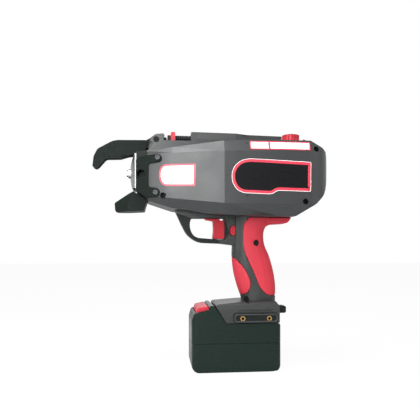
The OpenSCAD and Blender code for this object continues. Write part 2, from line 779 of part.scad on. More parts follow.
// Twisting shaft, planetary gearbox and twist motor along one axis
sun_teeth = 12;
planet_teeth = 12;
ring_teeth = sun_teeth + 2 * planet_teeth;
orbit_r = planet_module * (sun_teeth + planet_teeth) / 2;
planet_pin_d = 3.6;
motor_shaft_d = 4;
case_x = [-68.5, -40];
carrier_x = [-66, -63];
gear_x = [-62.4, -54.4];
motor_x = [case_x[1], 8];
shaft_tip = plate_front - 4.5;
carrier_d = 2 * orbit_r + planet_pin_d + 4;
module on_twist_axis(x) { translate([x, 0, twist_z]) rotate([90, 0, 90]) children(); }
module front_bush() {
    color(brass) in_body() difference() {
        x_rod(frame_front, nose_x + spigot_l, 0, twist_z, bush_d);
        x_rod(frame_front - 1, nose_x + spigot_l + 1, 0, twist_z, shaft_d + 2 * run_gap);
    }
}
module twist_shaft() {
    color(steel) in_body() difference() {
        union() {
            x_rod(shaft_tip + 2, carrier_x[1], 0, twist_z, shaft_d);
            x_rod(shaft_tip, shaft_tip + 2.1, 0, twist_z, shaft_d - 3);
            x_rod(nose_x + spigot_l + slide_gap, nose_x + spigot_l + 4, 0, twist_z, bush_d);
            x_rod(carrier_x[0], carrier_x[1], 0, twist_z, carrier_d);
            for (k = [0 : 2]) rotate_about_twist(120 * k)
                x_rod(carrier_x[1] - 1, gear_x[1] - 0.4, orbit_r, twist_z, planet_pin_d);
        }
        box([shaft_tip - 1, plate_front + 1], [-1.2, 1.2], [twist_z - 20, twist_z + 20]);
        x_rod(carrier_x[1] - 1.6, carrier_x[1] + 1, 0, twist_z, motor_shaft_d + 2 * slide_gap);
    }
}
module rotate_about_twist(a) {
    translate([0, 0, twist_z]) rotate([a, 0, 0]) translate([0, 0, -twist_z]) children();
}
module planet_gear(k) {
    color(steel) in_body() rotate_about_twist(120 * k) difference() {
        translate([0, orbit_r, 0]) on_twist_axis(gear_x[0]) rotate([0, 0, mesh_phase(0, 0, sun_teeth, planet_teeth)])
            linear_extrude(gear_x[1] - gear_x[0])
                polygon(gear_outline(planet_teeth, planet_module, gear_tip, gear_root, gear_slack));
        x_rod(gear_x[0] - 1, gear_x[1] + 1, orbit_r, twist_z, planet_pin_d + 2 * run_gap);
    }
}
module planet_gear_1() { planet_gear(0); }
module planet_gear_2() { planet_gear(1); }
module planet_gear_3() { planet_gear(2); }
module sun_gear() {
    color(brass) in_body() difference() {
        on_twist_axis(gear_x[0]) linear_extrude(gear_x[1] - gear_x[0])
            polygon(gear_outline(sun_teeth, planet_module, gear_tip, gear_root, gear_slack));
        x_rod(gear_x[0] - 1, gear_x[1] + 1, 0, twist_z, motor_shaft_d + 2 * run_gap);
    }
}
module gearbox_case() {
    color(steel) in_body() difference() {
        x_rod(case_x[0], case_x[1], 0, twist_z, motor_d);
        x_rod(case_x[0] - 1, case_x[0] + 3, 0, twist_z, shaft_d + 2 * slide_gap);
        x_rod(carrier_x[0] - air_gap, gear_x[0] - 0.2, 0, twist_z, motor_d - 4);
        on_twist_axis(gear_x[0] - 0.3) rotate([0, 0, 180 / ring_teeth]) linear_extrude(gear_x[1] - gear_x[0] + 0.7)
            polygon(gear_outline(ring_teeth, planet_module, gear_root, gear_tip, -gear_slack));
        x_rod(gear_x[1], case_x[1] + 1, 0, twist_z, motor_d / 2);
    }
}
module twist_motor() {
    color(steel) in_body() {
        x_rod(motor_x[0], motor_x[1], 0, twist_z, motor_d);
        x_rod(gear_x[0] + 0.2, motor_x[0] + 1, 0, twist_z, motor_shaft_d);
        x_rod(motor_x[1] - 1, motor_x[1] + 4, 0, twist_z, motor_d / 2);
    }
}

// Wire feed: a driven roller under the wire, a press roller over it and a gear train to the feed motor
feed_x = -75;
roller_d = 10;
roller_w = 6;
roller_shaft_d = 4;
wire_gap = 0.3;
roller_z = wire_z - wire_d / 2 - wire_gap - roller_d / 2;
press_z = wire_z + wire_d / 2 + wire_gap + roller_d / 2;
pinion_teeth = 12;
idler_teeth = 36;
roller_teeth = 16;
idler_way = -72;
pinion_way = -58;
idler_at = [feed_x, roller_z] + feed_module * (idler_teeth + roller_teeth) / 2 * [cos(idler_way), sin(idler_way)];
pinion_at = idler_at + feed_module * (idler_teeth + pinion_teeth) / 2 * [cos(pinion_way), sin(pinion_way)];
idler_phase = 0;
cheek_y = [9.4, 10.8];
outer_plate_y = [motor_d / 2 + slide_gap, motor_d / 2 + 1.8];
feed_gear_y = [outer_plate_y[1] + slide_gap, outer_plate_y[1] + slide_gap + 4];
idler_post_d = 5;
feed_motor_d = 20;
feed_shaft_d = 3;
cheek_x = [ridge_hollow_x + 0.5, case_x[0] - 1];
module feed_gear(at, teeth, phase, bore) {
    difference() {
        translate([at[0], feed_gear_y[1], at[1]]) rotate([90, 0, 0]) rotate([0, 0, phase])
            linear_extrude(feed_gear_y[1] - feed_gear_y[0])
                polygon(gear_outline(teeth, feed_module, gear_tip, gear_root, gear_slack));
        y_rod(at[0], at[1], bore, 0, body_w);
    }
}
module feed_bracket() {
    color(steel) in_body() difference() {
        union() {
            mirrored_y() box(cheek_x, cheek_y, [twist_z + shaft_d / 2 + 1.2, slot_floor - wall]);
            box(cheek_x, [-cheek_y[1], cheek_y[1]], [slot_floor - wall - 2, slot_floor - wall]);
            side_prism([
                [feed_x - 7, roller_z - 6], [feed_x - 7, roller_z + 6], [feed_x + 7, roller_z + 6],
                idler_at + [10, 4], pinion_at + [9, 6], pinion_at + [9, -7], pinion_at + [-9, -7],
                idler_at + [-9, -6]
            ], outer_plate_y[0], outer_plate_y[1]);
            for (z = [roller_z - 3.6, roller_z + 3.6])
                y_rod(cheek_x[0] + 1.6, z, 3, cheek_y[0], outer_plate_y[1]);
            y_rod(idler_at[0], idler_at[1], idler_post_d, outer_plate_y[0], feed_gear_y[1] + 0.8);
        }
        for (z = [roller_z, press_z]) y_rod(feed_x, z, roller_shaft_d + 2 * run_gap, -body_w, body_w);
        y_rod(pinion_at[0], pinion_at[1], feed_shaft_d + 2 * slide_gap, 0, body_w);
    }
}
module feed_motor() {
    color(steel) in_body() {
        y_rod(pinion_at[0], pinion_at[1], feed_motor_d, -20, outer_plate_y[0]);
        y_rod(pinion_at[0], pinion_at[1], feed_shaft_d, outer_plate_y[0] - 1, feed_gear_y[1] + 0.6);
    }
}
module feed_pinion() {
    phase = mesh_phase(pinion_way, idler_phase, idler_teeth, pinion_teeth);
    color(brass) in_body() feed_gear(pinion_at, pinion_teeth, phase, feed_shaft_d + 2 * run_gap);
}
module feed_idler() {
    color(steel) in_body() feed_gear(idler_at, idler_teeth, idler_phase, idler_post_d + 2 * run_gap);
}
module feed_roller() {
    phase = mesh_phase(idler_way + 180, idler_phase, idler_teeth, roller_teeth);
    color(steel) in_body() {
        y_rod(feed_x, roller_z, roller_d, -roller_w / 2, roller_w / 2);
        y_rod(feed_x, roller_z, roller_shaft_d, -cheek_y[1] - 0.6, feed_gear_y[1]);
        feed_gear([feed_x, roller_z], roller_teeth, phase, 1);
    }
}
module press_roller() {
    color(steel) in_body() {
        y_rod(feed_x, press_z, roller_d, -roller_w / 2, roller_w / 2);
        y_rod(feed_x, press_z, roller_shaft_d, -cheek_y[1] - 0.6, cheek_y[1] + 0.6);
    }
}

// Path of the wire: a guide tube, the fixed cutter in the nose frame and the sliding blade
tube_x = [case_x[0] + 1, -12];
wire_bend_x = tube_x[1] + 4;
wire_top = [reel_x, 12, reel_z + reel_wire_d / 2 + wire_d / 2 + wire_gap];
module rod_between(a, b, d) {
    v = b - a;
    translate(a) rotate([0, acos(v[2] / norm(v)), atan2(v[1], v[0])]) cylinder(h = norm(v), d = d);
}
module wire_guide() {
    color(brass) in_body() difference() {
        x_rod(tube_x[0], tube_x[1], 0, wire_z, wire_d + 1.6);
        x_rod(tube_x[0] - 1, tube_x[1] + 1, 0, wire_z, wire_d + 0.4);
    }
}
module tie_wire() {
    color(steel) in_body() {
        x_rod(blade_x[1] + 1, wire_bend_x, 0, wire_z, wire_d);
        rod_between([wire_bend_x, 0, wire_z], wire_top, wire_d);
    }
}
module fixed_cutter() {
    color(steel) in_body() difference() {
        x_rod(blade_x[1], feed_x - roller_d / 2 - 1, 0, wire_z, cutter_d);
        x_rod(blade_x[1] - 1, feed_x, 0, wire_z, wire_d + 0.4);
    }
}
blade_travel = 4;
blade_w = blade_room - blade_travel - 2 * slide_gap;
module cutter_blade() {
    color(steel) in_body() difference() {
        box([blade_x[0] + 0.3, blade_x[1] - 0.3], [slide_gap - blade_room / 2, slide_gap - blade_room / 2 + blade_w],
            [wire_z - 6 + 0.3, frame_top - 2]);
        x_rod(blade_x[0] - 1, blade_x[1] + 1, 0, wire_z, wire_hole_d);
    }
}

// Reel bay: a wall on posts, the spindle, the reel with its wire and the brake
bay_wall_y = [-9, -7];
post_d = 6;
spool_y = [bay_wall_y[1] + 1.8, body_w / 2 - 11];
flange_t = 2;
hub_d = spindle_d + 12;
brake_at = [reel_x - 40, reel_z - 28];
brake_pin_d = 4;
module bay_wall() {
    color(dark) in_body() difference() {
        union() {
            y_rod(reel_x, reel_z, reel_d + 1, bay_wall_y[0], bay_wall_y[1]);
            box([brake_at[0] - 6, reel_x - 20], bay_wall_y, [brake_at[1] - 6, brake_at[1] + 10]);
            for (a = [45, 180, 315])
                let (x = reel_x + (reel_d / 2 - 1) * cos(a), z = reel_z + (reel_d / 2 - 1) * sin(a))
                y_rod(x, z, post_d, wall - half_width(x - post_d / 2), bay_wall_y[0]);
            y_rod(brake_at[0], brake_at[1], brake_pin_d, bay_wall_y[0], 4);
        }
        y_rod(reel_x, reel_z, spindle_d / 2, -body_w, body_w);
    }
}
module reel_spindle() {
    color(steel) in_body() difference() {
        union() {
            y_rod(reel_x, reel_z, spindle_d, bay_wall_y[1], spool_y[1] + 2);
            y_rod(reel_x, reel_z, spindle_d + 8, bay_wall_y[1], spool_y[0] - slide_gap);
        }
        y_rod(reel_x, reel_z, spindle_d / 2, -body_w, body_w);
    }
}
module reel_spool() {
    color(dark) in_body() difference() {
        union() {
            y_rod(reel_x, reel_z, hub_d, spool_y[0], spool_y[1]);
            y_rod(reel_x, reel_z, reel_d, spool_y[0], spool_y[0] + flange_t);
            y_rod(reel_x, reel_z, reel_d, spool_y[1] - flange_t, spool_y[1]);
        }
        y_rod(reel_x, reel_z, spindle_d + 2 * run_gap, -body_w, body_w);
    }
}
module reel_wire() {
    color(steel) in_body() difference() {
        y_rod(reel_x, reel_z, reel_wire_d, spool_y[0] + flange_t, spool_y[1] - flange_t);
        y_rod(reel_x, reel_z, hub_d, -body_w, body_w);
    }
}
solenoid_x = [-38, -16];
solenoid_z = 7.8;
module solenoid() {
    color(copper) in_body() {
        box(solenoid_x, [-8, 8], [solenoid_z, solenoid_z + 16]);
        x_rod(solenoid_x[1] - 1, brake_at[0] - 11, 0, brake_at[1] - 4, 5);
    }
}
module brake_lever() {
    color(steel) in_body() difference() {
        side_prism(rounded([
            [brake_at[0] - 9.6, brake_at[1] - 6.5, 1], [brake_at[0] + 3, brake_at[1] - 5.5, 4],
            [brake_at[0] + 8.6, brake_at[1] + 11, 1.5], [brake_at[0] + 4.6, brake_at[1] + 12.6, 1.5],
            [brake_at[0] - 3.4, brake_at[1] + 4, 4], [brake_at[0] - 9.6, brake_at[1] - 1.5, 1]
        ]), bay_wall_y[1] + slide_gap, 3);
        y_rod(brake_at[0], brake_at[1], brake_pin_d + 2 * run_gap, -body_w, body_w);
    }
}
module reel_cover() {
    color(dark) in_body() difference() {
        union() {
            y_rod(reel_x, reel_z, collar_d, cover_y, cover_y + cover_t);
            y_rod(reel_x, reel_z, collar_d - 16, cover_y + cover_t - 0.1, cover_y + cover_t + 1.2);
            z_rod(cover_pin_x, cover_pin_y, knuckle_d, knuckle_low + knuckle_h + slide_gap,
                knuckle_low + 3 * knuckle_h - slide_gap);
            box([cover_pin_x, cover_pin_x + 10], [cover_y, cover_y + cover_t],
                [knuckle_low + knuckle_h + slide_gap, knuckle_low + 3 * knuckle_h - slide_gap]);
        }
        z_rod(cover_pin_x, cover_pin_y, cover_pin_d + 2 * run_gap, 0, body_h);
    }
}
module cover_hinge_pin() {
    color(steel) in_body()
        z_rod(cover_pin_x, cover_pin_y, cover_pin_d, knuckle_low - 0.4, knuckle_low + 4 * knuckle_h + 0.4);
}
module cover_latch() {
    color(crimson) in_body() {
        box([cover_latch_x, cover_latch_x + 7], [cover_y - 0.1, cover_y + cover_t], [reel_z - 5, reel_z + 5]);
        for (k = [1 : 3])
            box([cover_latch_x + 2 * k - 0.6, cover_latch_x + 2 * k + 0.2],
                [cover_y + cover_t - 0.1, cover_y + cover_t + 0.8], [reel_z - 4, reel_z + 4]);
    }
}

// Control board on posts of the left half, with its components
board_x = [-36, 22];
board_z = [22, 66];
board_y = 13 - body_w / 2;
board_t = 1.6;
board_inset = 4;
module board_posts() {
    for (x = [board_x[0] + board_inset, board_x[1] - board_inset])
        for (z = [board_z[0] + board_inset, board_z[1] - board_inset])
            y_rod(x, z, 6, -body_w, board_y - board_t);
}
module main_board() {
    color(green) in_body() box(board_x, [board_y - board_t, board_y], board_z);
}
module board_components() {
    color(dark) in_body() {
        box([board_x[0] + 8, board_x[0] + 20], [board_y, board_y + 2.4], [board_z[0] + 12, board_z[0] + 24]);
        box([board_x[0] + 20, board_x[0] + 32], [board_y, board_y + 6], [board_z[0] + 4, board_z[0] + 12]);
        for (x = [0, 11]) y_rod(board_x[1] - 20 + x, board_z[0] + 12, 8, board_y, board_y + 8);
    }
}

// Dial with a ribbed rim in a notch across the ridge, and the control under it
module dial_room(t) {
    box([dial_x - dial_notch_front - t, dial_x + dial_notch + t], [-ridge_w, ridge_w], [dial_seat - t, 2 * body_h]);
}
dial_ribs = 26;
rib_depth = 0.7;
module dial() {
    color(crimson) in_body() {
        translate([dial_x, 0, dial_seat + slide_gap]) linear_extrude(dial_h) polygon([
            for (k = [0 : 4 * dial_ribs - 1])
                let (a = 90 * k / dial_ribs, r = dial_d / 2 - (k % 4 < 2 ? 0 : rib_depth))
                r * [cos(a), sin(a)]
        ]);
        z_rod(dial_x, 0, dial_stem_d, pot_top - pot_h / 2, dial_seat + slide_gap + 1);
    }
}
module dial_pot() {
    color(dark) in_body() difference() {
        box([dial_x - 8, dial_x + 8], [-8, 8], [pot_top - pot_h, pot_top]);
        z_rod(dial_x, 0, dial_stem_d + 2 * run_gap, pot_top - pot_h / 2 - run_gap, pot_top + 1);
    }
}

// Trigger, its switch and the lock
module lock_form(gap, y0, y1) {
    half = lock_w / 2 + gap;
    reach = (lock_h - lock_w) / 2;
    for (s = [-1, 1]) y_rod(lock_x, lock_z + s * reach, 2 * half, y0, y1);
    box([lock_x - half, lock_x + half], [y0, y1], [lock_z - reach, lock_z + reach]);
}
module trigger() {
    color(crimson) in_tool() {
        side_prism(rounded([
            [trigger_front, trigger_high, 1.5], [trigger_stem, trigger_high, 0], [trigger_stem, trigger_low, 0],
            [trigger_front - 0.4, trigger_low, 2], [trigger_front + 0.8, (trigger_low + trigger_high) / 2, 40]
        ]), -trigger_w / 2, trigger_w / 2);
        side_prism(rounded([
            [trigger_front - lip_l, lip_top, 0.6], [lip_back, lip_top, 0.6], [lip_back, trigger_high - 2, 0],
            [trigger_front + 1.5, trigger_high - 2, 0], [trigger_front - 1, trigger_high - 0.6, 1.5],
            [trigger_front - lip_l, lip_top - 1, 0.4]
        ]), -trigger_w / 2, trigger_w / 2);
        box([trigger_stem - 1, switch_x - trigger_travel - air_gap], [-3, 3], [trigger_arm_z, trigger_arm_z + 3.6]);
    }
}
switch_low = grip_h - 24;
module trigger_switch() {
    color(dark) in_tool() {
        box([switch_x, switch_x + 14], [-7, 7], [switch_low, grip_h - 3]);
        box([switch_x + 8, switch_x + 14], [pad_t + grip_wall + 1 - grip_w / 2, grip_w / 2 - pad_t - grip_wall - 1],
            [switch_low, grip_h - 8]);
    }
}
module lock_button() {
    color(crimson) in_tool() lock_form(0, lock_rest - lock_travel - guard_w / 2, guard_w / 2 - lock_rest);
}

// Power path from the foot to the switch
terminal_top = foot_room_z + 6;
cable_d = 3;
module terminal_block() {
    color(black) in_tool() box([16, 42], [-12, 12], [foot_room_z, terminal_top]);
}
module power_cables() {
    color(crimson) in_tool() for (y = [-4, 4])
        intersection() {
            rod_between([31, y, terminal_top - 4], [switch_x + 7, y, switch_low + 4], cable_d);
            box([-far, far], [-far, far], [terminal_top, switch_low]);
        }
}

// Hook plates with threaded inserts on both sides of the foot, and the strap lug
hook_plate_l = 54.6;
hook_plate_h = 12.8;
hook_plate_t = 2.5;
hook_x = foot_rear - hook_plate_l / 2 - 2;
hook_z = 5.9;
insert_d = insert_bore + 2.7;
insert_wall = 3.1;
insert_end = -rail_head_w / 2 - slide_gap - insert_wall;
module insert_places() {
    for (s = [-1, 1]) translate([hook_x + s * hook_spacing / 2, 0, hook_z]) children();
}
module hook_plates() {
    color(charcoal) in_tool() mirrored_y() difference() {
        side_prism(rounded([
            [hook_x - hook_plate_l / 2, slide_gap, 5], [hook_x + hook_plate_l / 2, slide_gap, 5],
            [hook_x + hook_plate_l / 2, hook_plate_h, 5], [hook_x - hook_plate_l / 2, hook_plate_h, 5]
        ]), -pack_w / 2 - hook_plate_t, -pack_w / 2);
        insert_places() y_rod(0, 0, insert_d, -far, far);
    }
}
module hook_inserts() {
    color(brass) in_tool() mirrored_y() insert_places() difference() {
        y_rod(0, 0, insert_d, -pack_w / 2 - hook_plate_t, insert_end);
        y_rod(0, 0, insert_bore, -far, far);
    }
}
lug_l = 15;
lug_z = [8.4, 17.6];
module strap_lug() {
    color(black) in_tool() difference() {
        side_prism(rounded([
            [foot_rear, lug_z[0], 0], [foot_rear + lug_l, lug_z[0], 3],
            [foot_rear + lug_l, lug_z[1], 3], [foot_rear, lug_z[1], 0]
        ]), -6, 6);
        z_rod(foot_rear + lug_l - 6, 0, lug_bore, 0, foot_top + 10);
    }
}

// Battery pack: two cases, cells and a latch button in the upstand before the foot
pack_wall = 2.6;
pack_face = pack_h - 0.3;
upstand_gap = 0.5;
latch_back_x = foot_front_top - 6.5;
latch_front_x = 5.2 - pack_l / 2;
latch_w = pack_w - 10;
module pack_plan() {
    linear_extrude(2 * pack_h) polygon(rounded([
        [-pack_l / 2, -pack_w / 2, 7], [pack_l / 2, -pack_w / 2, 7],
        [pack_l / 2, pack_w / 2, 7], [-pack_l / 2, pack_w / 2, 7]
    ]));
}
module pack_lower_case() {
    color(black) difference() {
        intersection() {
            side_prism(rounded([
                [-pack_l / 2, 0, 9], [pack_l / 2, 0, 9], [pack_l / 2, pack_seam, 0], [-pack_l / 2, pack_seam, 0]
            ]), -pack_w / 2, pack_w / 2);
            pack_plan();
        }
        box([pack_wall - pack_l / 2 + 5, pack_l / 2 - pack_wall - 5],
            [pack_wall - pack_w / 2, pack_w / 2 - pack_wall], [pack_wall, pack_h]);
    }
}
module pack_upper_case() {
    color(black) difference() {
        union() {
            intersection() {
                side_prism(rounded([
                    [-pack_l / 2, pack_seam, 0], [pack_l / 2, pack_seam, 0], [pack_l / 2, pack_face, 5],
                    [foot_front_low - upstand_gap, pack_face, 0],
                    [foot_front_top - upstand_gap, pack_h + foot_top - 1.2, 2],
                    [latch_back_x, pack_h + foot_top - 0.6, 3], [latch_back_x, pack_h + 16.4, 0],
                    [latch_front_x - 2, pack_h + 12.4, 4], [-pack_l / 2, pack_h + 3, 6]
                ]), -pack_w / 2, pack_w / 2);
                pack_plan();
            }
            box([-8, foot_rear - 6], [-rail_neck_w / 2, rail_neck_w / 2], [pack_face - 1, pack_h + rail_h]);
            box([-8, foot_rear - 6], [-rail_head_w / 2, rail_head_w / 2],
                [pack_h + rail_neck_h, pack_h + rail_h]);
        }
        box([pack_wall - pack_l / 2 + 2, pack_l / 2 - pack_wall - 2],
            [pack_wall - pack_w / 2, pack_w / 2 - pack_wall], [0, pack_face - pack_wall]);
        box([latch_front_x - slide_gap, latch_back_x + slide_gap],
            [-latch_w / 2 - slide_gap, latch_w / 2 + slide_gap],
            [pack_h + 8 - pack_latch_travel, pack_h + 40]);
    }
}
module pack_latch() {
    color(crimson) side_prism(rounded([
        [latch_front_x, pack_h + 8.6, 0], [latch_back_x - slide_gap, pack_h + 8.6, 0],
        [latch_back_x - slide_gap, pack_h + 20.6, 1.5], [latch_front_x + 2.4, pack_h + 18.2, 2.5]
    ]), -latch_w / 2, latch_w / 2);
}
cell_gap = 0.4;
module pack_cells() {
    color(steel) for (row = [0, 1]) for (y = [-1, 0, 1])
        x_rod(-cell_l / 2 + 8, cell_l / 2 + 8, y * (cell_d + cell_gap),
            pack_wall + cell_gap + cell_d / 2 + row * (cell_d + cell_gap), cell_d);
}

left_housing();
right_housing();
housing_screws();
rear_grip();
front_grip();
nose_frame();
nose_plate();
nose_brackets();
nose_screws();
lower_guide();
guide_pin();
upper_guide();
guide_latch();
latch_rod();
latch_spring();
top_panels();
front_bush();
twist_shaft();
gearbox_case();
planet_gear_1();
planet_gear_2();
planet_gear_3();
sun_gear();
twist_motor();
feed_bracket();
feed_motor();
feed_pinion();
feed_idler();
feed_roller();
press_roller();
wire_guide();
tie_wire();
fixed_cutter();
cutter_blade();
bay_wall();
reel_spindle();
reel_spool();
reel_wire();
solenoid();
brake_lever();
reel_cover();
cover_hinge_pin();
cover_latch();
main_board();
board_components();
dial();
dial_pot();
trigger();
trigger_switch();
lock_button();
terminal_block();
power_cables();
hook_plates();
hook_inserts();
strap_lug();
pack_lower_case();
pack_upper_case();
pack_cells();
pack_latch();
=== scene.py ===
"""Looks of a rebar tying tool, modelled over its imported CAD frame."""

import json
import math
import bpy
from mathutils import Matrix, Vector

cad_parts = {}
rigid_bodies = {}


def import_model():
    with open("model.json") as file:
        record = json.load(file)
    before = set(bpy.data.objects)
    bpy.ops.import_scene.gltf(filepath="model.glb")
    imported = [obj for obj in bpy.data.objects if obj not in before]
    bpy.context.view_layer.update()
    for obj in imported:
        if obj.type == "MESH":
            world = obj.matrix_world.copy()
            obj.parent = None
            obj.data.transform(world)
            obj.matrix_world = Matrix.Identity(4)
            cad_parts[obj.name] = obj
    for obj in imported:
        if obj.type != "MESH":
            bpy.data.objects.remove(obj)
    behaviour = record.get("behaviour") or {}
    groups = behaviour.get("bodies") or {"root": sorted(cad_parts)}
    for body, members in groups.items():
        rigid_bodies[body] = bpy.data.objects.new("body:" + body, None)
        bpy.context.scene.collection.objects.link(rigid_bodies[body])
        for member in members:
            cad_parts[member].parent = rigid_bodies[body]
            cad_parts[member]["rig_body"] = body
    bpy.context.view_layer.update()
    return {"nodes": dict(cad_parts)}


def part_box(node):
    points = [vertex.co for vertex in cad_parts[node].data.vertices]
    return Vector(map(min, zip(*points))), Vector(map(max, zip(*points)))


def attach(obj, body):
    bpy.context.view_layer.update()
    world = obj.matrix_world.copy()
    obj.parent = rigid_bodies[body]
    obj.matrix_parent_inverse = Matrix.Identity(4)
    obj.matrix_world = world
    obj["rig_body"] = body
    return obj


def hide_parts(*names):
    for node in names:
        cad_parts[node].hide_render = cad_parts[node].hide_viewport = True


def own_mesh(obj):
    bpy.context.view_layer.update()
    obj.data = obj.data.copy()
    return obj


bl_info = {
    "name": "Rebar Tying Tool",
    "version": (1, 0, 0),
    "blender": (4, 5, 0),
    "location": "View3D > Sidebar > Tying Tool",
    "description": "Models the visible pieces of a rebar tying tool over its CAD frame",
    "category": "Object",
}

import bmesh
import bpy
from mathutils import Vector
from mathutils.bvhtree import BVHTree
from mathutils.kdtree import KDTree

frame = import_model()
NODES = frame["nodes"]
MM = 0.001

# How often a piece is rounded anew, how much room a round needs, in widths of the round, and how
# much of a fold's width counts there
ATTEMPTS = 6
ROOM = 2.5
FOLD_SHARE = 0.7
# Angles in degrees: a corner that is rounded, one that is always sharp, one that is sharp where
# no round is beside it
CORNER_ANGLE = 30
SHARP_ANGLE = 50
LONE_SHARP_ANGLE = 24
# How far and how much a rounded face may leave the CAD surface
OFF_SURFACE = 0.5 * MM
OFF_TURN = -0.3
# A face smaller than this, in square metres, isn't judged
SLIVER_AREA = 1e-10
# Where the body starts above the handle, the upright creases of its side and its long folds
BODY_LOW = 186 * MM
CREASES = (-16 * MM, -77 * MM)
ON_CREASE = 0.6 * MM
LONG_FOLD = 8 * MM
# Angles of a crease and of a fold, in degrees
CREASE_LEAST = 3
FOLD_LEAST = 12
FOLD_MOST = 30
# The end of the latch spring that stays put, and the wall behind the spring, whose faces are
# painted black as the shade that falls there
SPRING_END = -54 * MM
SPRING_WALL_X = (-73 * MM, SPRING_END)
SPRING_WALL_Y = 8 * MM
# Where a decal starts before it is laid on the housing, and the grid that lets it follow, in mm
DECAL_START = -60
DECAL_GRID = 5
# What the lamps point at
LAMP_AIM = Vector((-0.03, 0.0, 0.2))


# Selection and finishing

def activate(piece):
    """Leaves this piece alone selected and active, in object mode."""
    if bpy.context.object and bpy.context.object.mode != "OBJECT":
        bpy.ops.object.mode_set(mode="OBJECT")
    bpy.ops.object.select_all(action="DESELECT")
    piece.select_set(True)
    bpy.context.view_layer.objects.active = piece


def edit(piece, kind):
    """Opens a piece in edit mode with nothing selected; kind is VERT, EDGE or FACE."""
    activate(piece)
    bpy.ops.object.mode_set(mode="EDIT")
    bpy.ops.mesh.select_mode(type=kind)
    bpy.ops.mesh.select_all(action="DESELECT")


def pick(piece, kind, wanted):
    """In edit mode, selects only the vertices, edges or faces that wanted accepts."""
    bpy.ops.mesh.select_mode(type=kind)
    bpy.ops.mesh.select_all(action="DESELECT")
    mesh = bmesh.from_edit_mesh(piece.data)
    parts = {"VERT": mesh.verts, "EDGE": mesh.edges, "FACE": mesh.faces}[kind]
    for part in parts:
        if wanted(part):
            part.select_set(True)
    mesh.select_flush_mode()
    bmesh.update_edit_mesh(piece.data)


def done_editing():
    """Goes back to object mode."""
    bpy.ops.object.mode_set(mode="OBJECT")


def apply_modifier(piece, kind, **settings):
    """Adds one modifier with these settings and applies it."""
    activate(piece)
    modifier = piece.modifiers.new(kind.title(), kind)
    for key, value in settings.items():
        setattr(modifier, key, value)
    bpy.ops.object.modifier_apply(modifier=modifier.name)


def named(name):
    """Names the primitive just added, puts its place in its mesh and returns it."""
    piece = bpy.context.object
    bpy.ops.object.transform_apply(location=True, rotation=True, scale=True)
    piece.name = name
    piece.data.name = name
    return piece


def smooth(piece):
    """Shades a piece smooth, with large faces kept flat and small ones taking the turn."""
    activate(piece)
    bpy.ops.object.shade_smooth()
    apply_modifier(piece, "WEIGHTED_NORMAL", mode="FACE_AREA", weight=70, keep_sharp=True,
                   use_face_influence=True)


def finish(piece, body, slot, *materials):
    """Gives a piece its finishes and the body that it belongs to. The slot is not used."""
    if not len(piece.data.polygons):
        raise RuntimeError(f"{piece.name} came out empty")
    if len(piece.data.materials) != len(materials):
        piece.data.materials.clear()
        for material in materials:
            piece.data.materials.append(material)
    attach(piece, body)
    return piece


def copied(node, name):
    """A merged copy of a CAD node's mesh, open in edit mode, with its flat faces joined."""
    piece = bpy.data.objects.new(name, NODES[node].data.copy())
    bpy.context.scene.collection.objects.link(piece)
    piece.data.materials.clear()
    activate(piece)
    bpy.ops.mesh.customdata_custom_splitnormals_clear()
    edit(piece, "EDGE")
    bpy.ops.mesh.select_all(action="SELECT")
    bpy.ops.mesh.remove_doubles(threshold=0.002 * MM)
    bpy.ops.mesh.dissolve_limited(angle_limit=math.radians(0.02))
    return piece


def reach_of(face, edge):
    """How far a face reaches away from one of its edges."""
    start, end = (vert.co for vert in edge.verts)
    run = (end - start).normalized()
    return max((vert.co - start - (vert.co - start).dot(run) * run).length for vert in face.verts)


def roomy(edge, width):
    """True for an outward corner with room on both of its faces for a round of this width."""
    return (len(edge.link_faces) == 2 and edge.is_convex
            and edge.calc_face_angle(0.0) > math.radians(CORNER_ANGLE)
            and all(reach_of(face, edge) > ROOM * width for face in edge.link_faces))


def misplaced(piece, skin):
    """Corners of the faces that have left the CAD surface or turned against it."""
    mesh = piece.data
    mesh.calc_loop_triangles()
    spots = []
    for face in mesh.loop_triangles:
        corners = [mesh.vertices[index].co.copy() for index in face.vertices]
        middle = (corners[0] + corners[1] + corners[2]) / 3
        place, normal = skin.find_nearest(middle)[:2]
        off = (place - middle).length > OFF_SURFACE or normal.dot(face.normal) < OFF_TURN
        if off and face.area > SLIVER_AREA:
            spots += corners
    return spots


def beside(spots, reach):
    """A test for edges with an end within reach of one of these spots."""
    tree = KDTree(len(spots))
    for index, spot in enumerate(spots):
        tree.insert(spot, index)
    tree.balance()
    return lambda edge: bool(spots) and any(
        tree.find(vert.co)[2] < reach for vert in edge.verts)


def softened(node, width, material, slot, facets=None, facet_width=0.0):
    """Replaces a CAD node by a copy with rounded edges; facets picks the soft folds.

    Edges where a round spoils the faces beside it are left sharp in the next attempt.
    """
    data = NODES[node].data
    skin = BVHTree.FromPolygons([vert.co for vert in data.vertices],
                                [tuple(face.vertices) for face in data.polygons])
    spoilt = []
    for attempt in range(ATTEMPTS):
        tight = beside(spoilt, ROOM * max(width, FOLD_SHARE * facet_width))
        piece = copied(node, node + "_shell")
        if facets:
            pick(piece, "EDGE", lambda edge: facets(edge) and not tight(edge))
            bpy.ops.mesh.bevel(offset=facet_width, segments=3, affect="EDGES",
                               clamp_overlap=True, loop_slide=False)
        pick(piece, "EDGE", lambda edge: roomy(edge, width) and not tight(edge))
        bpy.ops.mesh.bevel(
            offset=width, segments=3, profile=0.5, affect="EDGES", clamp_overlap=False,
            loop_slide=False, face_strength_mode="ALL")
        done_editing()
        found = misplaced(piece, skin)
        if not found or attempt == ATTEMPTS - 1:
            break
        spoilt += found
        bpy.data.objects.remove(piece)
    mark_edges(piece, facets)
    smooth(piece)
    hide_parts(node)
    return finish(piece, NODES[node]["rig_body"], slot, material)


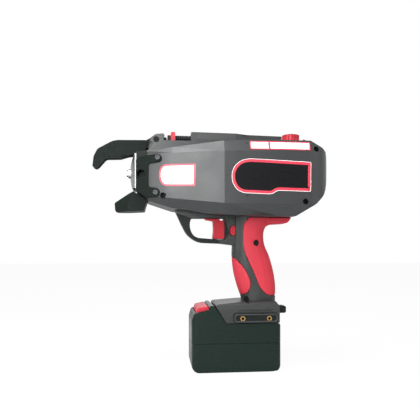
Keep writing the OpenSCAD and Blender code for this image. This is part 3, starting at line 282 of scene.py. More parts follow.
def mark_edges(piece, facets):
    """Marks the faces that a bevel made, where the finish is rubbed and moulded plastic gets a
    painted highlight, and corners left sharp.
    """
    piece.data.attributes.new("rubbed", "FLOAT", "FACE")
    strength = piece.data.attributes["__mod_weightednormals_faceweight"].data
    for weight, mark in zip(strength, piece.data.attributes["rubbed"].data):
        mark.value = float(weight.value < 0)
    edit(piece, "EDGE")
    rubbed = bmesh.from_edit_mesh(piece.data).faces.layers.float["rubbed"]

    def left_sharp(edge):
        angle = math.degrees(edge.calc_face_angle(0.0))
        fold = bool(facets and facets(edge))
        beside_round = any(face[rubbed] for face in edge.link_faces)
        alone = (angle > LONE_SHARP_ANGLE or fold) and not beside_round
        return angle > SHARP_ANGLE or alone

    pick(piece, "EDGE", left_sharp)
    bpy.ops.mesh.mark_sharp()
    done_editing()


def coil(name, profile_d, radius, pitch, turns, steps, axis):
    """A closed wire wound about the X or Y axis through the origin, from there onwards."""
    place = (0, radius, 0) if axis == "X" else (radius, 0, 0)
    bpy.ops.mesh.primitive_circle_add(vertices=10, radius=profile_d / 2, location=place)
    piece = named(name)
    apply_modifier(
        piece, "SCREW", axis=axis, angle=2 * math.pi * turns, screw_offset=pitch * turns,
        steps=int(steps * turns), render_steps=int(steps * turns), use_merge_vertices=False)
    edit(piece, "EDGE")
    bpy.ops.mesh.select_all(action="SELECT")
    bpy.ops.mesh.remove_doubles(threshold=0.001 * MM)
    bpy.ops.mesh.select_all(action="DESELECT")
    bpy.ops.mesh.select_non_manifold()
    bpy.ops.mesh.fill_holes(sides=12)
    bpy.ops.mesh.select_all(action="SELECT")
    bpy.ops.mesh.normals_make_consistent(inside=False)
    done_editing()
    return piece


def moved(piece, offset):
    """Shifts a piece's mesh and leaves its object at the origin."""
    activate(piece)
    piece.location = offset
    bpy.ops.object.transform_apply(location=True, rotation=False, scale=False)
    return piece


# Finishes

def add(tree, kind, inputs=None, **settings):
    """Adds a shader node, sets it up and links or fills its inputs."""
    node = tree.nodes.new("ShaderNode" + kind)
    for key, value in settings.items():
        setattr(node, key, value)
    for key, value in (inputs or {}).items():
        if isinstance(value, bpy.types.NodeSocket):
            tree.links.new(value, node.inputs[key])
        else:
            node.inputs[key].default_value = value
    return node


def new_group(name, inputs, outputs):
    """An empty node group with these sockets, and its two end nodes."""
    tree = bpy.data.node_groups.new(name, "ShaderNodeTree")
    for label, kind, value in inputs:
        socket = tree.interface.new_socket(label, in_out="INPUT", socket_type="NodeSocket" + kind)
        if value is not None:
            socket.default_value = value
    for label in outputs:
        tree.interface.new_socket(label, in_out="OUTPUT", socket_type="NodeSocketFloat")
    return tree, tree.nodes.new("NodeGroupInput"), tree.nodes.new("NodeGroupOutput")


def moulded_grain():
    """Group: the fine pebble of a moulded face, and slow drifts of its tone."""
    name = "Moulded Grain"
    if name in bpy.data.node_groups:
        return bpy.data.node_groups[name]
    tree, start, end = new_group(
        name, [("Vector", "Vector", None), ("Grain", "Float", 1.0)], ["Height", "Tone"])
    scale = add(tree, "Math", {0: 1.0, 1: start.outputs["Grain"]}, operation="DIVIDE")
    place = add(tree, "VectorMath", {0: start.outputs["Vector"], "Scale": scale.outputs[0]},
                operation="SCALE")
    pebble = add(tree, "TexVoronoi", {"Vector": place.outputs[0], "Scale": 1.0},
                 feature="SMOOTH_F1")
    fine = add(tree, "TexNoise", {"Vector": place.outputs[0], "Scale": 0.8, "Detail": 3.0})
    height = add(tree, "Math", {0: pebble.outputs["Distance"], 1: fine.outputs["Fac"]},
                 operation="ADD")
    drift = add(tree, "TexNoise", {"Vector": start.outputs["Vector"], "Scale": 24.0,
                                   "Detail": 4.0, "Roughness": 0.6})
    tone = add(tree, "MapRange", {0: drift.outputs["Fac"], 1: 0.32, 2: 0.68})
    tree.links.new(height.outputs[0], end.inputs["Height"])
    tree.links.new(tone.outputs[0], end.inputs["Tone"])
    return tree


def edge_wear_and_highlight():
    """Group: where raised edges are rubbed, broken up by a scuff pattern; on moulded plastics its
    paleness is partly a painted highlight on the edges.
    """
    name = "Edge Wear"
    if name in bpy.data.node_groups:
        return bpy.data.node_groups[name]
    tree, start, end = new_group(
        name, [("Vector", "Vector", None), ("Amount", "Float", 0.5)], ["Wear", "Scuff"])
    ridge = add(tree, "Attribute", attribute_name="rubbed")
    rub = add(tree, "TexNoise", {"Vector": start.outputs["Vector"], "Scale": 140.0,
                                 "Detail": 5.0, "Roughness": 0.7})
    broken = add(tree, "MapRange", {0: rub.outputs["Fac"], 1: 0.40, 2: 0.66})
    wear = add(tree, "Math", {0: ridge.outputs["Fac"], 1: broken.outputs[0]}, operation="MULTIPLY")
    wear = add(tree, "Math", {0: wear.outputs[0], 1: start.outputs["Amount"]},
               operation="MULTIPLY", use_clamp=True)
    long = add(tree, "VectorMath", {0: start.outputs["Vector"], 1: (60.0, 60.0, 420.0)},
               operation="MULTIPLY")
    scratch = add(tree, "TexNoise", {"Vector": long.outputs[0], "Scale": 1.0, "Detail": 2.0,
                                     "Distortion": 0.6})
    scuff = add(tree, "MapRange", {0: scratch.outputs["Fac"], 1: 0.62, 2: 0.78})
    tree.links.new(wear.outputs[0], end.inputs["Wear"])
    tree.links.new(scuff.outputs[0], end.inputs["Scuff"])
    return tree


def tool_marks():
    """Group: fine lines left by machining or polishing, drawn out along one direction."""
    name = "Tool Marks"
    if name in bpy.data.node_groups:
        return bpy.data.node_groups[name]
    tree, start, end = new_group(
        name, [("Vector", "Vector", None), ("Stretch", "Vector", (900.0, 900.0, 60.0))],
        ["Line", "Cloud"])
    place = add(tree, "VectorMath", {0: start.outputs["Vector"], 1: start.outputs["Stretch"]},
                operation="MULTIPLY")
    line = add(tree, "TexNoise", {"Vector": place.outputs[0], "Scale": 1.0, "Detail": 4.0})
    cloud = add(tree, "TexNoise", {"Vector": start.outputs["Vector"], "Scale": 70.0,
                                   "Detail": 3.0})
    tree.links.new(line.outputs["Fac"], end.inputs["Line"])
    tree.links.new(cloud.outputs["Fac"], end.inputs["Cloud"])
    return tree


def shade(colour, factor):
    """A colour made lighter or darker, as a shader value."""
    return tuple(min(1.0, part * factor) for part in colour[:3]) + (1.0,)


def mix(tree, factor, a, b):
    """The colour between a and b by factor."""
    return add(tree, "Mix", {0: factor, 6: a, 7: b}, data_type="RGBA").outputs[2]


def moulded(name, colour, rough, grain, bump, wear, specular=0.5):
    """A moulded plastic or rubber: pebbled, a little uneven in tone, pale on its edges, partly as
    rubbed wear and partly as a painted highlight.
    """
    if name in bpy.data.materials:
        return bpy.data.materials[name]
    material = bpy.data.materials.new(name)
    material.use_nodes = True
    material.diffuse_color = tuple(colour[:3]) + (1.0,)
    tree = material.node_tree
    shader = tree.nodes["Principled BSDF"]
    place = add(tree, "TexCoord").outputs["Object"]
    skin = add(tree, "Group", {"Vector": place, "Grain": grain}, node_tree=moulded_grain())
    rubbed = add(tree, "Group", {"Vector": place, "Amount": wear}, node_tree=edge_wear_and_highlight())
    base = mix(tree, skin.outputs["Tone"], shade(colour, 0.90), shade(colour, 1.08))
    # Paler rounded edges: rubbed wear and a painted highlight.
    pale_wear_highlight = tuple(0.85 * part + 0.06 for part in colour[:3]) + (1.0,)
    base = mix(tree, rubbed.outputs["Wear"], base, pale_wear_highlight)
    gloss = add(tree, "MapRange", {0: skin.outputs["Tone"], 3: rough + 0.05, 4: rough - 0.05})
    gloss = add(tree, "MapRange", {0: rubbed.outputs["Scuff"], 3: gloss.outputs[0],
                                   4: rough - 0.12})
    relief = add(tree, "Bump", {"Height": skin.outputs["Height"], "Strength": bump,
                                "Distance": 0.12 * grain})
    tree.links.new(base, shader.inputs["Base Color"])
    tree.links.new(gloss.outputs[0], shader.inputs["Roughness"])
    tree.links.new(relief.outputs[0], shader.inputs["Normal"])
    shader.inputs["Specular IOR Level"].default_value = specular
    return material


def metal(name, colour, rough, stretch, metallic=1.0, wear=0.3, specular=0.5,
          bare=(0.40, 0.40, 0.41)):
    """A bare or coated metal with fine tool marks; a coated one wears to bare metal."""
    if name in bpy.data.materials:
        return bpy.data.materials[name]
    material = bpy.data.materials.new(name)
    material.use_nodes = True
    material.diffuse_color = tuple(colour[:3]) + (1.0,)
    tree = material.node_tree
    shader = tree.nodes["Principled BSDF"]
    place = add(tree, "TexCoord").outputs["Object"]
    marks = add(tree, "Group", {"Vector": place, "Stretch": stretch}, node_tree=tool_marks())
    rubbed = add(tree, "Group", {"Vector": place, "Amount": wear}, node_tree=edge_wear_and_highlight())
    base = mix(tree, marks.outputs["Cloud"], shade(colour, 0.94), shade(colour, 1.06))
    base = mix(tree, rubbed.outputs["Wear"], base, tuple(bare) + (1.0,))
    gloss = add(tree, "MapRange", {0: marks.outputs["Line"], 1: 0.3, 2: 0.7,
                                   3: rough - 0.06, 4: rough + 0.08})
    relief = add(tree, "Bump", {"Height": marks.outputs["Line"], "Strength": 0.12,
                                "Distance": 0.05 * MM})
    tree.links.new(base, shader.inputs["Base Color"])
    tree.links.new(gloss.outputs[0], shader.inputs["Roughness"])
    tree.links.new(relief.outputs[0], shader.inputs["Normal"])
    shader.inputs["Specular IOR Level"].default_value = specular
    if metallic in (0.0, 1.0):
        shader.inputs["Metallic"].default_value = metallic
    else:
        bared = add(tree, "MapRange", {0: rubbed.outputs["Wear"], 3: metallic, 4: 1.0})
        tree.links.new(bared.outputs[0], shader.inputs["Metallic"])
    return material


def finishes(looks):
    """All finishes of the tool, by the record's slot or by the part they are for.

    Tool marks are drawn out evenly, along the tool or upright.
    """
    flat = (500.0, 500.0, 500.0)
    along = (80.0, 900.0, 900.0)
    upright = (900.0, 900.0, 60.0)
    return {
        "housing_plastic": moulded(
            "charcoal_housing", looks.housing_colour, rough=0.34, grain=0.55 * MM, bump=0.22,
            wear=0.35, specular=0.42),
        # The housing's charcoal, a little darker and less glossy: painted shade on the handle
        # under the body.
        "handle_painted_shade_plastic": moulded(
            "handle_painted_shade", looks.handle_shade_colour, rough=0.38, grain=0.55 * MM, bump=0.25, wear=0.3,
            specular=0.34),
        "grip_rubber": moulded(
            "red_rubber", looks.rubber_colour, rough=0.62, grain=0.8 * MM, bump=0.4, wear=0.15,
            specular=0.35),
        "red_plastic": moulded(
            "red_moulding", looks.red_colour, rough=0.38, grain=0.5 * MM, bump=0.15, wear=0.3,
            specular=0.3),
        # Red plastic made darker: painted shade for the trigger and lock button under the body.
        "red_painted_shade": moulded(
            "red_painted_shade", (0.36, 0.014, 0.024), rough=0.40, grain=0.5 * MM, bump=0.15, wear=0.3,
            specular=0.2),
        "black_plastic": moulded(
            "black_moulding", looks.black_colour, rough=0.40, grain=0.5 * MM, bump=0.25, wear=0.2,
            specular=0.12),
        "pack_plastic": moulded(
            "pack_moulding", looks.pack_colour, rough=0.30, grain=0.6 * MM, bump=0.12, wear=0.25,
            specular=0.18),
        "panel_grey": moulded(
            "panel_grey", (0.024, 0.026, 0.026), rough=0.42, grain=0.5 * MM, bump=0.2, wear=0.3),
        "circuit_board": moulded(
            "coated_board", (0.02, 0.15, 0.06), rough=0.34, grain=0.9 * MM, bump=0.2, wear=0.1),
        "cable_red": moulded(
            "wire_insulation", (0.5, 0.02, 0.02), rough=0.35, grain=0.7 * MM, bump=0.1, wear=0.1),
        "white_vinyl": moulded(
            "white_vinyl", (0.78, 0.78, 0.78), rough=0.34, grain=0.4 * MM, bump=0.06, wear=0.1),
        "red_vinyl": moulded(
            "red_vinyl", looks.vinyl_colour, rough=0.34, grain=0.4 * MM, bump=0.06, wear=0.1),
        "black_vinyl": moulded(
            "black_vinyl", (0.006, 0.006, 0.007), rough=0.30, grain=0.4 * MM, bump=0.06, wear=0.05,
            specular=0.1),
        "black_metal": metal(
            "black_coating", looks.coating_colour, rough=0.40, stretch=flat, metallic=0.0,
            wear=0.25, specular=0.06),
        "bright_steel": metal(
            "bright_nose_plate", (0.25, 0.255, 0.26), rough=0.40, stretch=upright),
        "steel": metal(
            "machined_steel", (0.58, 0.58, 0.59), rough=0.32, stretch=along),
        # Near black: black oxide on the inner parts, and painted shade for the housing screws deep
        # in their recesses.
        "dark_steel": metal(
            "black_oxide_and_painted_shade", (0.009, 0.009, 0.010), rough=0.45, stretch=flat, metallic=0.0,
            wear=0.15, specular=0.1),
        "screw_steel": metal(
            "zinc_screws", (0.045, 0.045, 0.048), rough=0.36, stretch=flat),
        "spring_steel": metal(
            "spring_wire", (0.02, 0.02, 0.022), rough=0.36, stretch=along, metallic=0.3, wear=0.2,
            specular=0.25),
        "tie_wire": metal(
            "annealed_wire", (0.32, 0.31, 0.30), rough=0.42, stretch=along),
        "brass": metal(
            "turned_brass", (0.34, 0.22, 0.08), rough=0.34, stretch=upright),
        "copper": metal(
            "wound_copper", (0.60, 0.27, 0.13), rough=0.34, stretch=along),
    }


# Sizes and colours a user would change

def length(label, text, value):
    """A length setting given in millimetres."""
    return bpy.props.FloatProperty(
        name=label, description=text, default=value * MM, subtype="DISTANCE", unit="LENGTH")


def colour(label, text, value):
    """A colour setting."""
    return bpy.props.FloatVectorProperty(
        name=label, description=text, default=value, subtype="COLOR", size=3, min=0.0, max=1.0)


class ToolLooks(bpy.types.PropertyGroup):
    """Sizes and colours of the tool's visible pieces."""
    edge_round: length("Edge round", "Rounding of the moulded edges", 0.6)
    body_floor: length("Body floor", "Where the handle meets the body", 186.5)
    guard_back: length("Guard back", "Up to where the trigger guard is painted black as shade", -8.0)
    guard_floor: length("Guard floor", "Down to where the trigger guard is painted black as shade", 140.0)
    rim_width: length("Rim width", "Width of the rim on a hook plate", 2.0)
    rim_height: length("Rim height", "How far the rim on a hook plate stands out", 1.5)
    rim_round: length("Rim round", "Rounding of the rim's corners", 4.0)
    slot_floor: length("Slot floor", "Floor of the slot for the latch spring", 277.6)
    nose_plate_round: length("Nose plate round", "Rounding of the nose plate's edges", 0.8)
    bracket_round: length("Bracket round", "Rounding of the side brackets' edges", 0.5)
    guide_round: length("Guide round", "Rounding of the guides' edges", 0.8)
    control_round: length("Control round", "Rounding of the trigger and the latches", 0.5)
    cover_round: length("Cover round", "Rounding of the reel cover's edges", 0.6)
    spool_round: length("Spool round", "Rounding of the reel spool's edges", 0.4)
    hook_plate_round: length("Hook plate round", "Rounding of the hook plates' edges", 0.6)
    lug_round: length("Lug round", "Rounding of the strap lug's edges", 0.8)
    panel_round: length("Panel round", "Rounding of the window panels' edges", 0.3)
    fold_round: length("Fold round", "Rounding of the housing's soft folds", 1.2)
    pack_round: length("Pack round", "Rounding of the battery pack's edges", 1.5)
    pack_wall: length("Pack wall", "How deep the outer edge of the pack's seam is looked for", 2.2)
    seam_round: length("Seam round", "Rounding of the two edges at the pack's seam", 0.7)
    pad_voxel: length("Pad voxel", "Mesh size of the rubber grips", 0.8)
    decal_thickness: length("Decal thickness", "Thickness of the blank decals", 0.2)
    dial_ribs: bpy.props.IntProperty(
        name="Dial ribs", description="Finger ribs around the dial", default=18, min=8, max=48)
    rib_round: length("Rib round", "Rounding of the dial's ribs", 0.2)
    dial_rim: length("Dial rim", "Width of the rim around the dial's dished top", 1.6)
    dial_dish: length("Dial dish", "Depth of the dial's dished top", 0.5)
    rib_depth: length("Rib depth", "Depth of the grooves between the dial's ribs", 1.2)
    dial_height: length("Dial height", "Height of the dial's ribbed part", 9.0)
    dial_inset: length("Dial inset", "How far the stem stands in from the dial's rim", 8.0)
    spring_wire: length("Spring wire", "Thickness of the latch spring's wire", 1.4)
    spring_turns: bpy.props.IntProperty(
        name="Spring turns", description="Turns of the latch spring", default=6, min=3, max=12)
    tie_wire: length("Tie wire", "Thickness of the wound wire", 1.0)
    slider_top: length("Slider top", "Up to where the guide latch is black", 284.5)
    cover_face: length("Cover face", "Where the reel cover's face is", 46.0)
    cover_ring: length("Cover ring", "Radius of the ring on the reel cover", 21.0)
    cover_bead: length("Cover bead", "Width and height of that ring", 1.6)
    cover_spokes: bpy.props.IntProperty(
        name="Cover spokes", description="Spokes inside that ring", default=8, min=3, max=16)
    spoke_reach: bpy.props.FloatProperty(
        name="Spoke reach", description="Length of a spoke and distance of its middle, in radii",
        default=0.62, min=0.1, max=0.66, subtype="FACTOR")
    spoke_width: length("Spoke width", "Width of a spoke", 1.3)
    spoke_height: length("Spoke height", "Height of a spoke, half of it in the cover", 1.4)
    relief_round: length("Relief round", "Rounding of the ring and the spokes", 0.3)
    housing_colour: colour("Housing", "Charcoal housing plastic", (0.022, 0.024, 0.025))
    # The handle's colour is the housing's charcoal darkened: painted shade.
    handle_shade_colour: colour("Handle", "Housing plastic darkened as painted shade on the handle", (0.020, 0.023, 0.022))
    rubber_colour: colour("Rubber", "Red grip rubber", (0.47, 0.024, 0.041))
    red_colour: colour("Red plastic", "Red controls", (0.50, 0.022, 0.040))
    black_colour: colour("Black plastic", "Black plastic pieces", (0.009, 0.012, 0.011))
    pack_colour: colour("Pack", "Battery pack plastic", (0.004, 0.012, 0.009))
    coating_colour: colour("Coating", "Black coating of the guides", (0.006, 0.010, 0.008))
    vinyl_colour: colour("Vinyl", "Red of the decals' frames", (0.60, 0.03, 0.06))


class StageLooks(bpy.types.PropertyGroup):
    """Light, floor and camera of the picture."""
    world_level: bpy.props.FloatProperty(
        name="World light", description="Even light from all round", default=0.22)
    key_power: bpy.props.FloatProperty(
        name="Key light", description="Tall softbox left of the camera", default=8.0, unit="POWER")
    top_power: bpy.props.FloatProperty(
        name="Top light", description="Lamp above the nose", default=9.5, unit="POWER")
    side_power: bpy.props.FloatProperty(
        name="Side light", description="Lamp ahead of the nose", default=4.5, unit="POWER")
    fill_power: bpy.props.FloatProperty(
        name="Fill light", description="Lamp at the right", default=2.0, unit="POWER")
    floor_size: length("Floor size", "Side of the floor", 12000.0)
    camera_place: bpy.props.FloatVectorProperty(
        name="Camera place", description="Where the camera stands",
        default=(-0.0917, -0.5967, 0.142), subtype="TRANSLATION", unit="LENGTH")
    camera_yaw: bpy.props.FloatProperty(
        name="Camera yaw", description="Turn of the camera about the upright",
        default=math.radians(-6), subtype="ANGLE", unit="ROTATION")
    camera_lens: bpy.props.FloatProperty(
        name="Focal length", description="Lens on a 36 mm sensor, in mm", default=41.14)
    camera_rise: bpy.props.FloatProperty(
        name="Rise", description="Upward shift of the picture", default=0.102)


# Operators

class TOOL_OT_stage(bpy.types.Operator):
    """Sets up the floor, the light and the camera of the photograph"""
    bl_idname = "tool.stage"
    bl_label = "Stage"
    bl_options = {"REGISTER", "UNDO"}

    def execute(self, context):
        looks = context.scene.stage_looks
        scene = context.scene
        scene.view_settings.view_transform = "Standard"
        world = bpy.data.worlds.new("studio")
        scene.world = world
        world.use_nodes = True
        tree = world.node_tree
        path = add(tree, "LightPath")
        seen = add(tree, "Math", {0: path.outputs["Is Camera Ray"],
                                  1: path.outputs["Is Glossy Ray"]}, operation="MAXIMUM")
        seen = add(tree, "Math", {0: seen.outputs[0], 1: path.outputs["Is Transmission Ray"]},
                   operation="MAXIMUM")
        level = add(tree, "MapRange", {0: seen.outputs[0], 3: looks.world_level, 4: 1.0})
        tree.links.new(level.outputs[0], tree.nodes["Background"].inputs["Strength"])
        tree.nodes["Background"].inputs["Color"].default_value = (1.0, 1.0, 1.0, 1.0)
        self.floor(looks)
        for name, place, power, wide, high in [
                ("key_lamp", (-0.25, -0.95, 0.48), looks.key_power, 0.28, 0.70),
                ("top_lamp", (-0.20, -0.28, 1.15), looks.top_power, 0.50, 0.55),
                ("side_lamp", (-0.85, -0.45, 0.50), looks.side_power, 0.5, 0.5),
                ("fill_lamp", (0.95, -0.75, 0.55), looks.fill_power, 0.9, 0.9),
                ("back_lamp", (0.1, 0.95, 0.9), looks.fill_power, 0.8, 0.8)]:
            bpy.ops.object.light_add(type="AREA", location=place)
            lamp = context.object
            lamp.name = name
            lamp.data.energy = power
            lamp.data.shape = "RECTANGLE"
            lamp.data.size = wide
            lamp.data.size_y = high
            aim = LAMP_AIM - Vector(place)
            lamp.rotation_euler = aim.to_track_quat("-Z", "Y").to_euler()
        bpy.ops.object.camera_add(
            location=looks.camera_place, rotation=(math.radians(90), 0.0, looks.camera_yaw))
        camera = context.object
        camera.data.lens = looks.camera_lens
        camera.data.sensor_width = 36.0
        camera.data.shift_y = looks.camera_rise
        camera.data.clip_start = 0.01
        scene.camera = camera
        return {"FINISHED"}

    def floor(self, looks):
        """A white floor that still takes the tool's shadow."""
        bpy.ops.object.select_all(action="DESELECT")
        bpy.ops.mesh.primitive_plane_add(size=looks.floor_size)
        floor = named("floor")
        material = bpy.data.materials.new("white_floor")
        material.use_nodes = True
        tree = material.node_tree
        shader = tree.nodes["Principled BSDF"]
        place = add(tree, "TexCoord").outputs["Object"]
        cloud = add(tree, "TexNoise", {"Vector": place, "Scale": 3.0})
        tree.links.new(mix(tree, cloud.outputs["Fac"], (0.86, 0.86, 0.86, 1.0),
                           (0.89, 0.89, 0.89, 1.0)), shader.inputs["Base Color"])
        shader.inputs["Roughness"].default_value = 0.8
        glow = add(tree, "Emission", {"Color": (1.0, 1.0, 1.0, 1.0), "Strength": 1.0})
        seen = add(tree, "Math", {0: add(tree, "LightPath").outputs["Is Camera Ray"], 1: 0.95},
                   operation="MULTIPLY")
        both = add(tree, "MixShader", {0: seen.outputs[0], 1: shader.outputs[0],
                                       2: glow.outputs[0]})
        tree.links.new(both.outputs[0], tree.nodes["Material Output"].inputs["Surface"])
        floor.data.materials.append(material)


def along_tool(edge):
    """True for the housing's long folds and upright creases, and false for rounded corners."""
    a, b = (vert.co for vert in edge.verts)
    if len(edge.link_faces) != 2 or min(a.z, b.z) < BODY_LOW:
        return False
    angle = math.degrees(edge.calc_face_angle(0.0))
    run = (b - a).normalized()
    lengthwise = abs(run.x) > 0.9 and (b - a).length > LONG_FOLD
    upright = abs(run.x) < 0.2 and any(
        abs(a.x - x) < ON_CREASE and abs(b.x - x) < ON_CREASE for x in CREASES)
    fold = lengthwise and FOLD_LEAST < angle < FOLD_MOST
    return fold or upright and CREASE_LEAST < angle < FOLD_MOST


class TOOL_OT_housing(bpy.types.Operator):
    """Models the two halves of the housing with rounded edges and soft folds"""
    bl_idname = "tool.housing"
    bl_label = "Housing"
    bl_options = {"REGISTER", "UNDO"}

    def execute(self, context):
        looks = context.scene.tool_looks
        finish_of = finishes(looks)
        for node in ("left_housing", "right_housing"):
            half = softened(node, looks.edge_round, finish_of["housing_plastic"],
                            "housing_plastic", along_tool, looks.fold_round)
            # Painted shade: a darker copy of the housing plastic for the handle.
            half.data.materials.append(finish_of["handle_painted_shade_plastic"])
            # Black as painted shade on the trigger guard and the wall behind the spring.
            half.data.materials.append(finish_of["black_plastic"])
            for face in half.data.polygons:
                face.material_index = self.finish_at(face.center, looks)
        return {"FINISHED"}

    def finish_at(self, place, looks):
        """Which finish is at a place: 0 on the body, 1 on the handle in its painted shade, 2 where
        black is painted as shade, on the trigger guard and the wall behind the spring.
        """
        # The wall behind the spring is painted black as the shade that falls there.
        spring_wall_painted_shade = (place.y > SPRING_WALL_Y and place.z > looks.slot_floor
                         and SPRING_WALL_X[0] < place.x < SPRING_WALL_X[1])
        # The trigger guard's faces are painted black as the shade under the body.
        guard_painted_shade = place.x < looks.guard_back and looks.guard_floor < place.z < looks.body_floor
        if spring_wall_painted_shade or guard_painted_shade:
            return 2
        return 1 if place.z < looks.body_floor else 0


class TOOL_OT_grips(bpy.types.Operator):
    """Models the rubber grips as soft rounded pads"""
    bl_idname = "tool.grips"
    bl_label = "Grips"
    bl_options = {"REGISTER", "UNDO"}

    def execute(self, context):
        looks = context.scene.tool_looks
        finish_of = finishes(looks)
        for node in ("rear_grip", "front_grip"):
            pad = copied(node, node + "_pad")
            done_editing()
            apply_modifier(pad, "REMESH", mode="VOXEL", voxel_size=looks.pad_voxel,
                           use_smooth_shade=True)
            apply_modifier(pad, "SMOOTH", factor=0.5, iterations=14)
            activate(pad)
            bpy.ops.object.shade_smooth()
            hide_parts(node)
            finish(pad, "tool", "grip_rubber", finish_of["grip_rubber"])
        return {"FINISHED"}


class TOOL_OT_nose(bpy.types.Operator):
    """Models the bowed nose plate and the two side brackets"""
    bl_idname = "tool.nose"
    bl_label = "Nose"
    bl_options = {"REGISTER", "UNDO"}

    def execute(self, context):
        looks = context.scene.tool_looks
        finish_of = finishes(looks)
        softened("nose_plate", looks.nose_plate_round, finish_of["bright_steel"], "bright_steel")
        softened("nose_brackets", looks.bracket_round, finish_of["black_metal"], "black_metal")
        return {"FINISHED"}


class TOOL_OT_guides(bpy.types.Operator):
    """Models the hooked upper guide and the lower guide"""
    bl_idname = "tool.guides"
    bl_label = "Guides"
    bl_options = {"REGISTER", "UNDO"}

    def execute(self, context):
        looks = context.scene.tool_looks
        finish_of = finishes(looks)
        for node in ("upper_guide", "lower_guide"):
            softened(node, looks.guide_round, finish_of["black_metal"], "black_metal")
        return {"FINISHED"}


class TOOL_OT_latch_spring(bpy.types.Operator):
    """Winds the coil spring behind the guide latch"""
    bl_idname = "tool.latch_spring"
    bl_label = "Latch spring"
    bl_options = {"REGISTER", "UNDO"}

    def execute(self, context):
        looks = context.scene.tool_looks
        finish_of = finishes(looks)
        low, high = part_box("latch_spring")
        wire = looks.spring_wire
        turns = looks.spring_turns
        middle = (low + high) / 2
        run = high.x - low.x - wire
        spring = coil("latch_spring_coil", wire, radius=(high.z - low.z - wire) / 2,
                      pitch=run / turns, turns=turns, steps=28, axis="X")
        moved(spring, (low.x + wire / 2, middle.y, middle.z))
        smooth(spring)
        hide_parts("latch_spring")
        finish(spring, "tool", "spring_steel", finish_of["spring_steel"])
        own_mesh(spring)
        return {"FINISHED"}


class TOOL_OT_dial(bpy.types.Operator):
    """Models the ribbed setting dial with its dished top and its stem"""
    bl_idname = "tool.dial"
    bl_label = "Dial"
    bl_options = {"REGISTER", "UNDO"}

    def execute(self, context):
        looks = context.scene.tool_looks
        finish_of = finishes(looks)
        low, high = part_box("dial")
        middle = (low + high) / 2
        depth = looks.dial_height
        bpy.ops.object.select_all(action="DESELECT")
        bpy.ops.mesh.primitive_cylinder_add(
            vertices=4 * looks.dial_ribs, radius=(high.x - low.x) / 2, depth=depth,
            location=(middle.x, middle.y, high.z - depth / 2))
        dial = named("ribbed_dial")
        edit(dial, "FACE")
        turn = 2 * math.pi / looks.dial_ribs

        def groove(face):
            away = face.calc_center_median() - middle
            share = (math.atan2(away.y, away.x) % turn) / turn
            rim = math.hypot(away.x, away.y) > 0.9 * (high.x - middle.x)
            return abs(face.normal.z) < 0.5 and rim and share < 0.5

        pick(dial, "FACE", lambda face: face.normal.z > 0.9)
        bpy.ops.mesh.inset(thickness=looks.dial_rim)
        bpy.ops.mesh.inset(thickness=looks.dial_dish, depth=-looks.dial_dish)
        pick(dial, "FACE", lambda face: face.normal.z < -0.9)
        bpy.ops.mesh.inset(thickness=looks.dial_inset)
        bpy.ops.mesh.extrude_region_move(
            TRANSFORM_OT_translate={"value": (0, 0, low.z + depth - high.z)})
        pick(dial, "FACE", groove)
        bpy.ops.mesh.inset(thickness=0.1 * looks.rib_depth, depth=-looks.rib_depth)
        bpy.ops.mesh.select_all(action="DESELECT")
        bpy.ops.mesh.edges_select_sharp(sharpness=math.radians(50))
        bpy.ops.mesh.bevel(
            offset=looks.rib_round, segments=2, affect="EDGES", clamp_overlap=True)
        done_editing()
        smooth(dial)
        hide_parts("dial")
        finish(dial, "dial", "red_plastic", finish_of["red_plastic"])
        return {"FINISHED"}


class TOOL_OT_controls(bpy.types.Operator):
    """Models the trigger, its lock button and the three latches"""
    bl_idname = "tool.controls"
    bl_label = "Controls"
    bl_options = {"REGISTER", "UNDO"}

    def execute(self, context):
        looks = context.scene.tool_looks
        finish_of = finishes(looks)
        for node in ("trigger", "lock_button", "guide_latch", "cover_latch", "pack_latch"):
            # The trigger and lock button take the darker red as painted shade, for where they sit
            # under the body.
            in_painted_shade = node in ("trigger", "lock_button")
            softened(node, looks.control_round,
                     finish_of["red_painted_shade" if in_painted_shade else "red_plastic"], "red_plastic")
        slider = bpy.data.objects["guide_latch_shell"]
        slider.data.materials.append(finish_of["black_plastic"])
        for face in slider.data.polygons:
            face.material_index = int(face.center.z < looks.slider_top)
        return {"FINISHED"}


class TOOL_OT_battery(bpy.types.Operator):
    """Models the two cases of the battery pack and the seam between them"""
    bl_idname = "tool.battery"
    bl_label = "Battery pack"
    bl_options = {"REGISTER", "UNDO"}

    def execute(self, context):
        looks = context.scene.tool_looks
        finish_of = finishes(looks)
        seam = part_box("pack_lower_case")[1]

        def at_seam(edge):
            return all(abs(vert.co.z - seam.z) < 0.1 * MM
                       and (abs(vert.co.x) > seam.x - looks.pack_wall
                            or abs(vert.co.y) > seam.y - looks.pack_wall) for vert in edge.verts)

        for node in ("pack_lower_case", "pack_upper_case"):
            softened(node, looks.pack_round, finish_of["pack_plastic"], "pack_plastic",
                     at_seam, looks.seam_round)
        return {"FINISHED"}


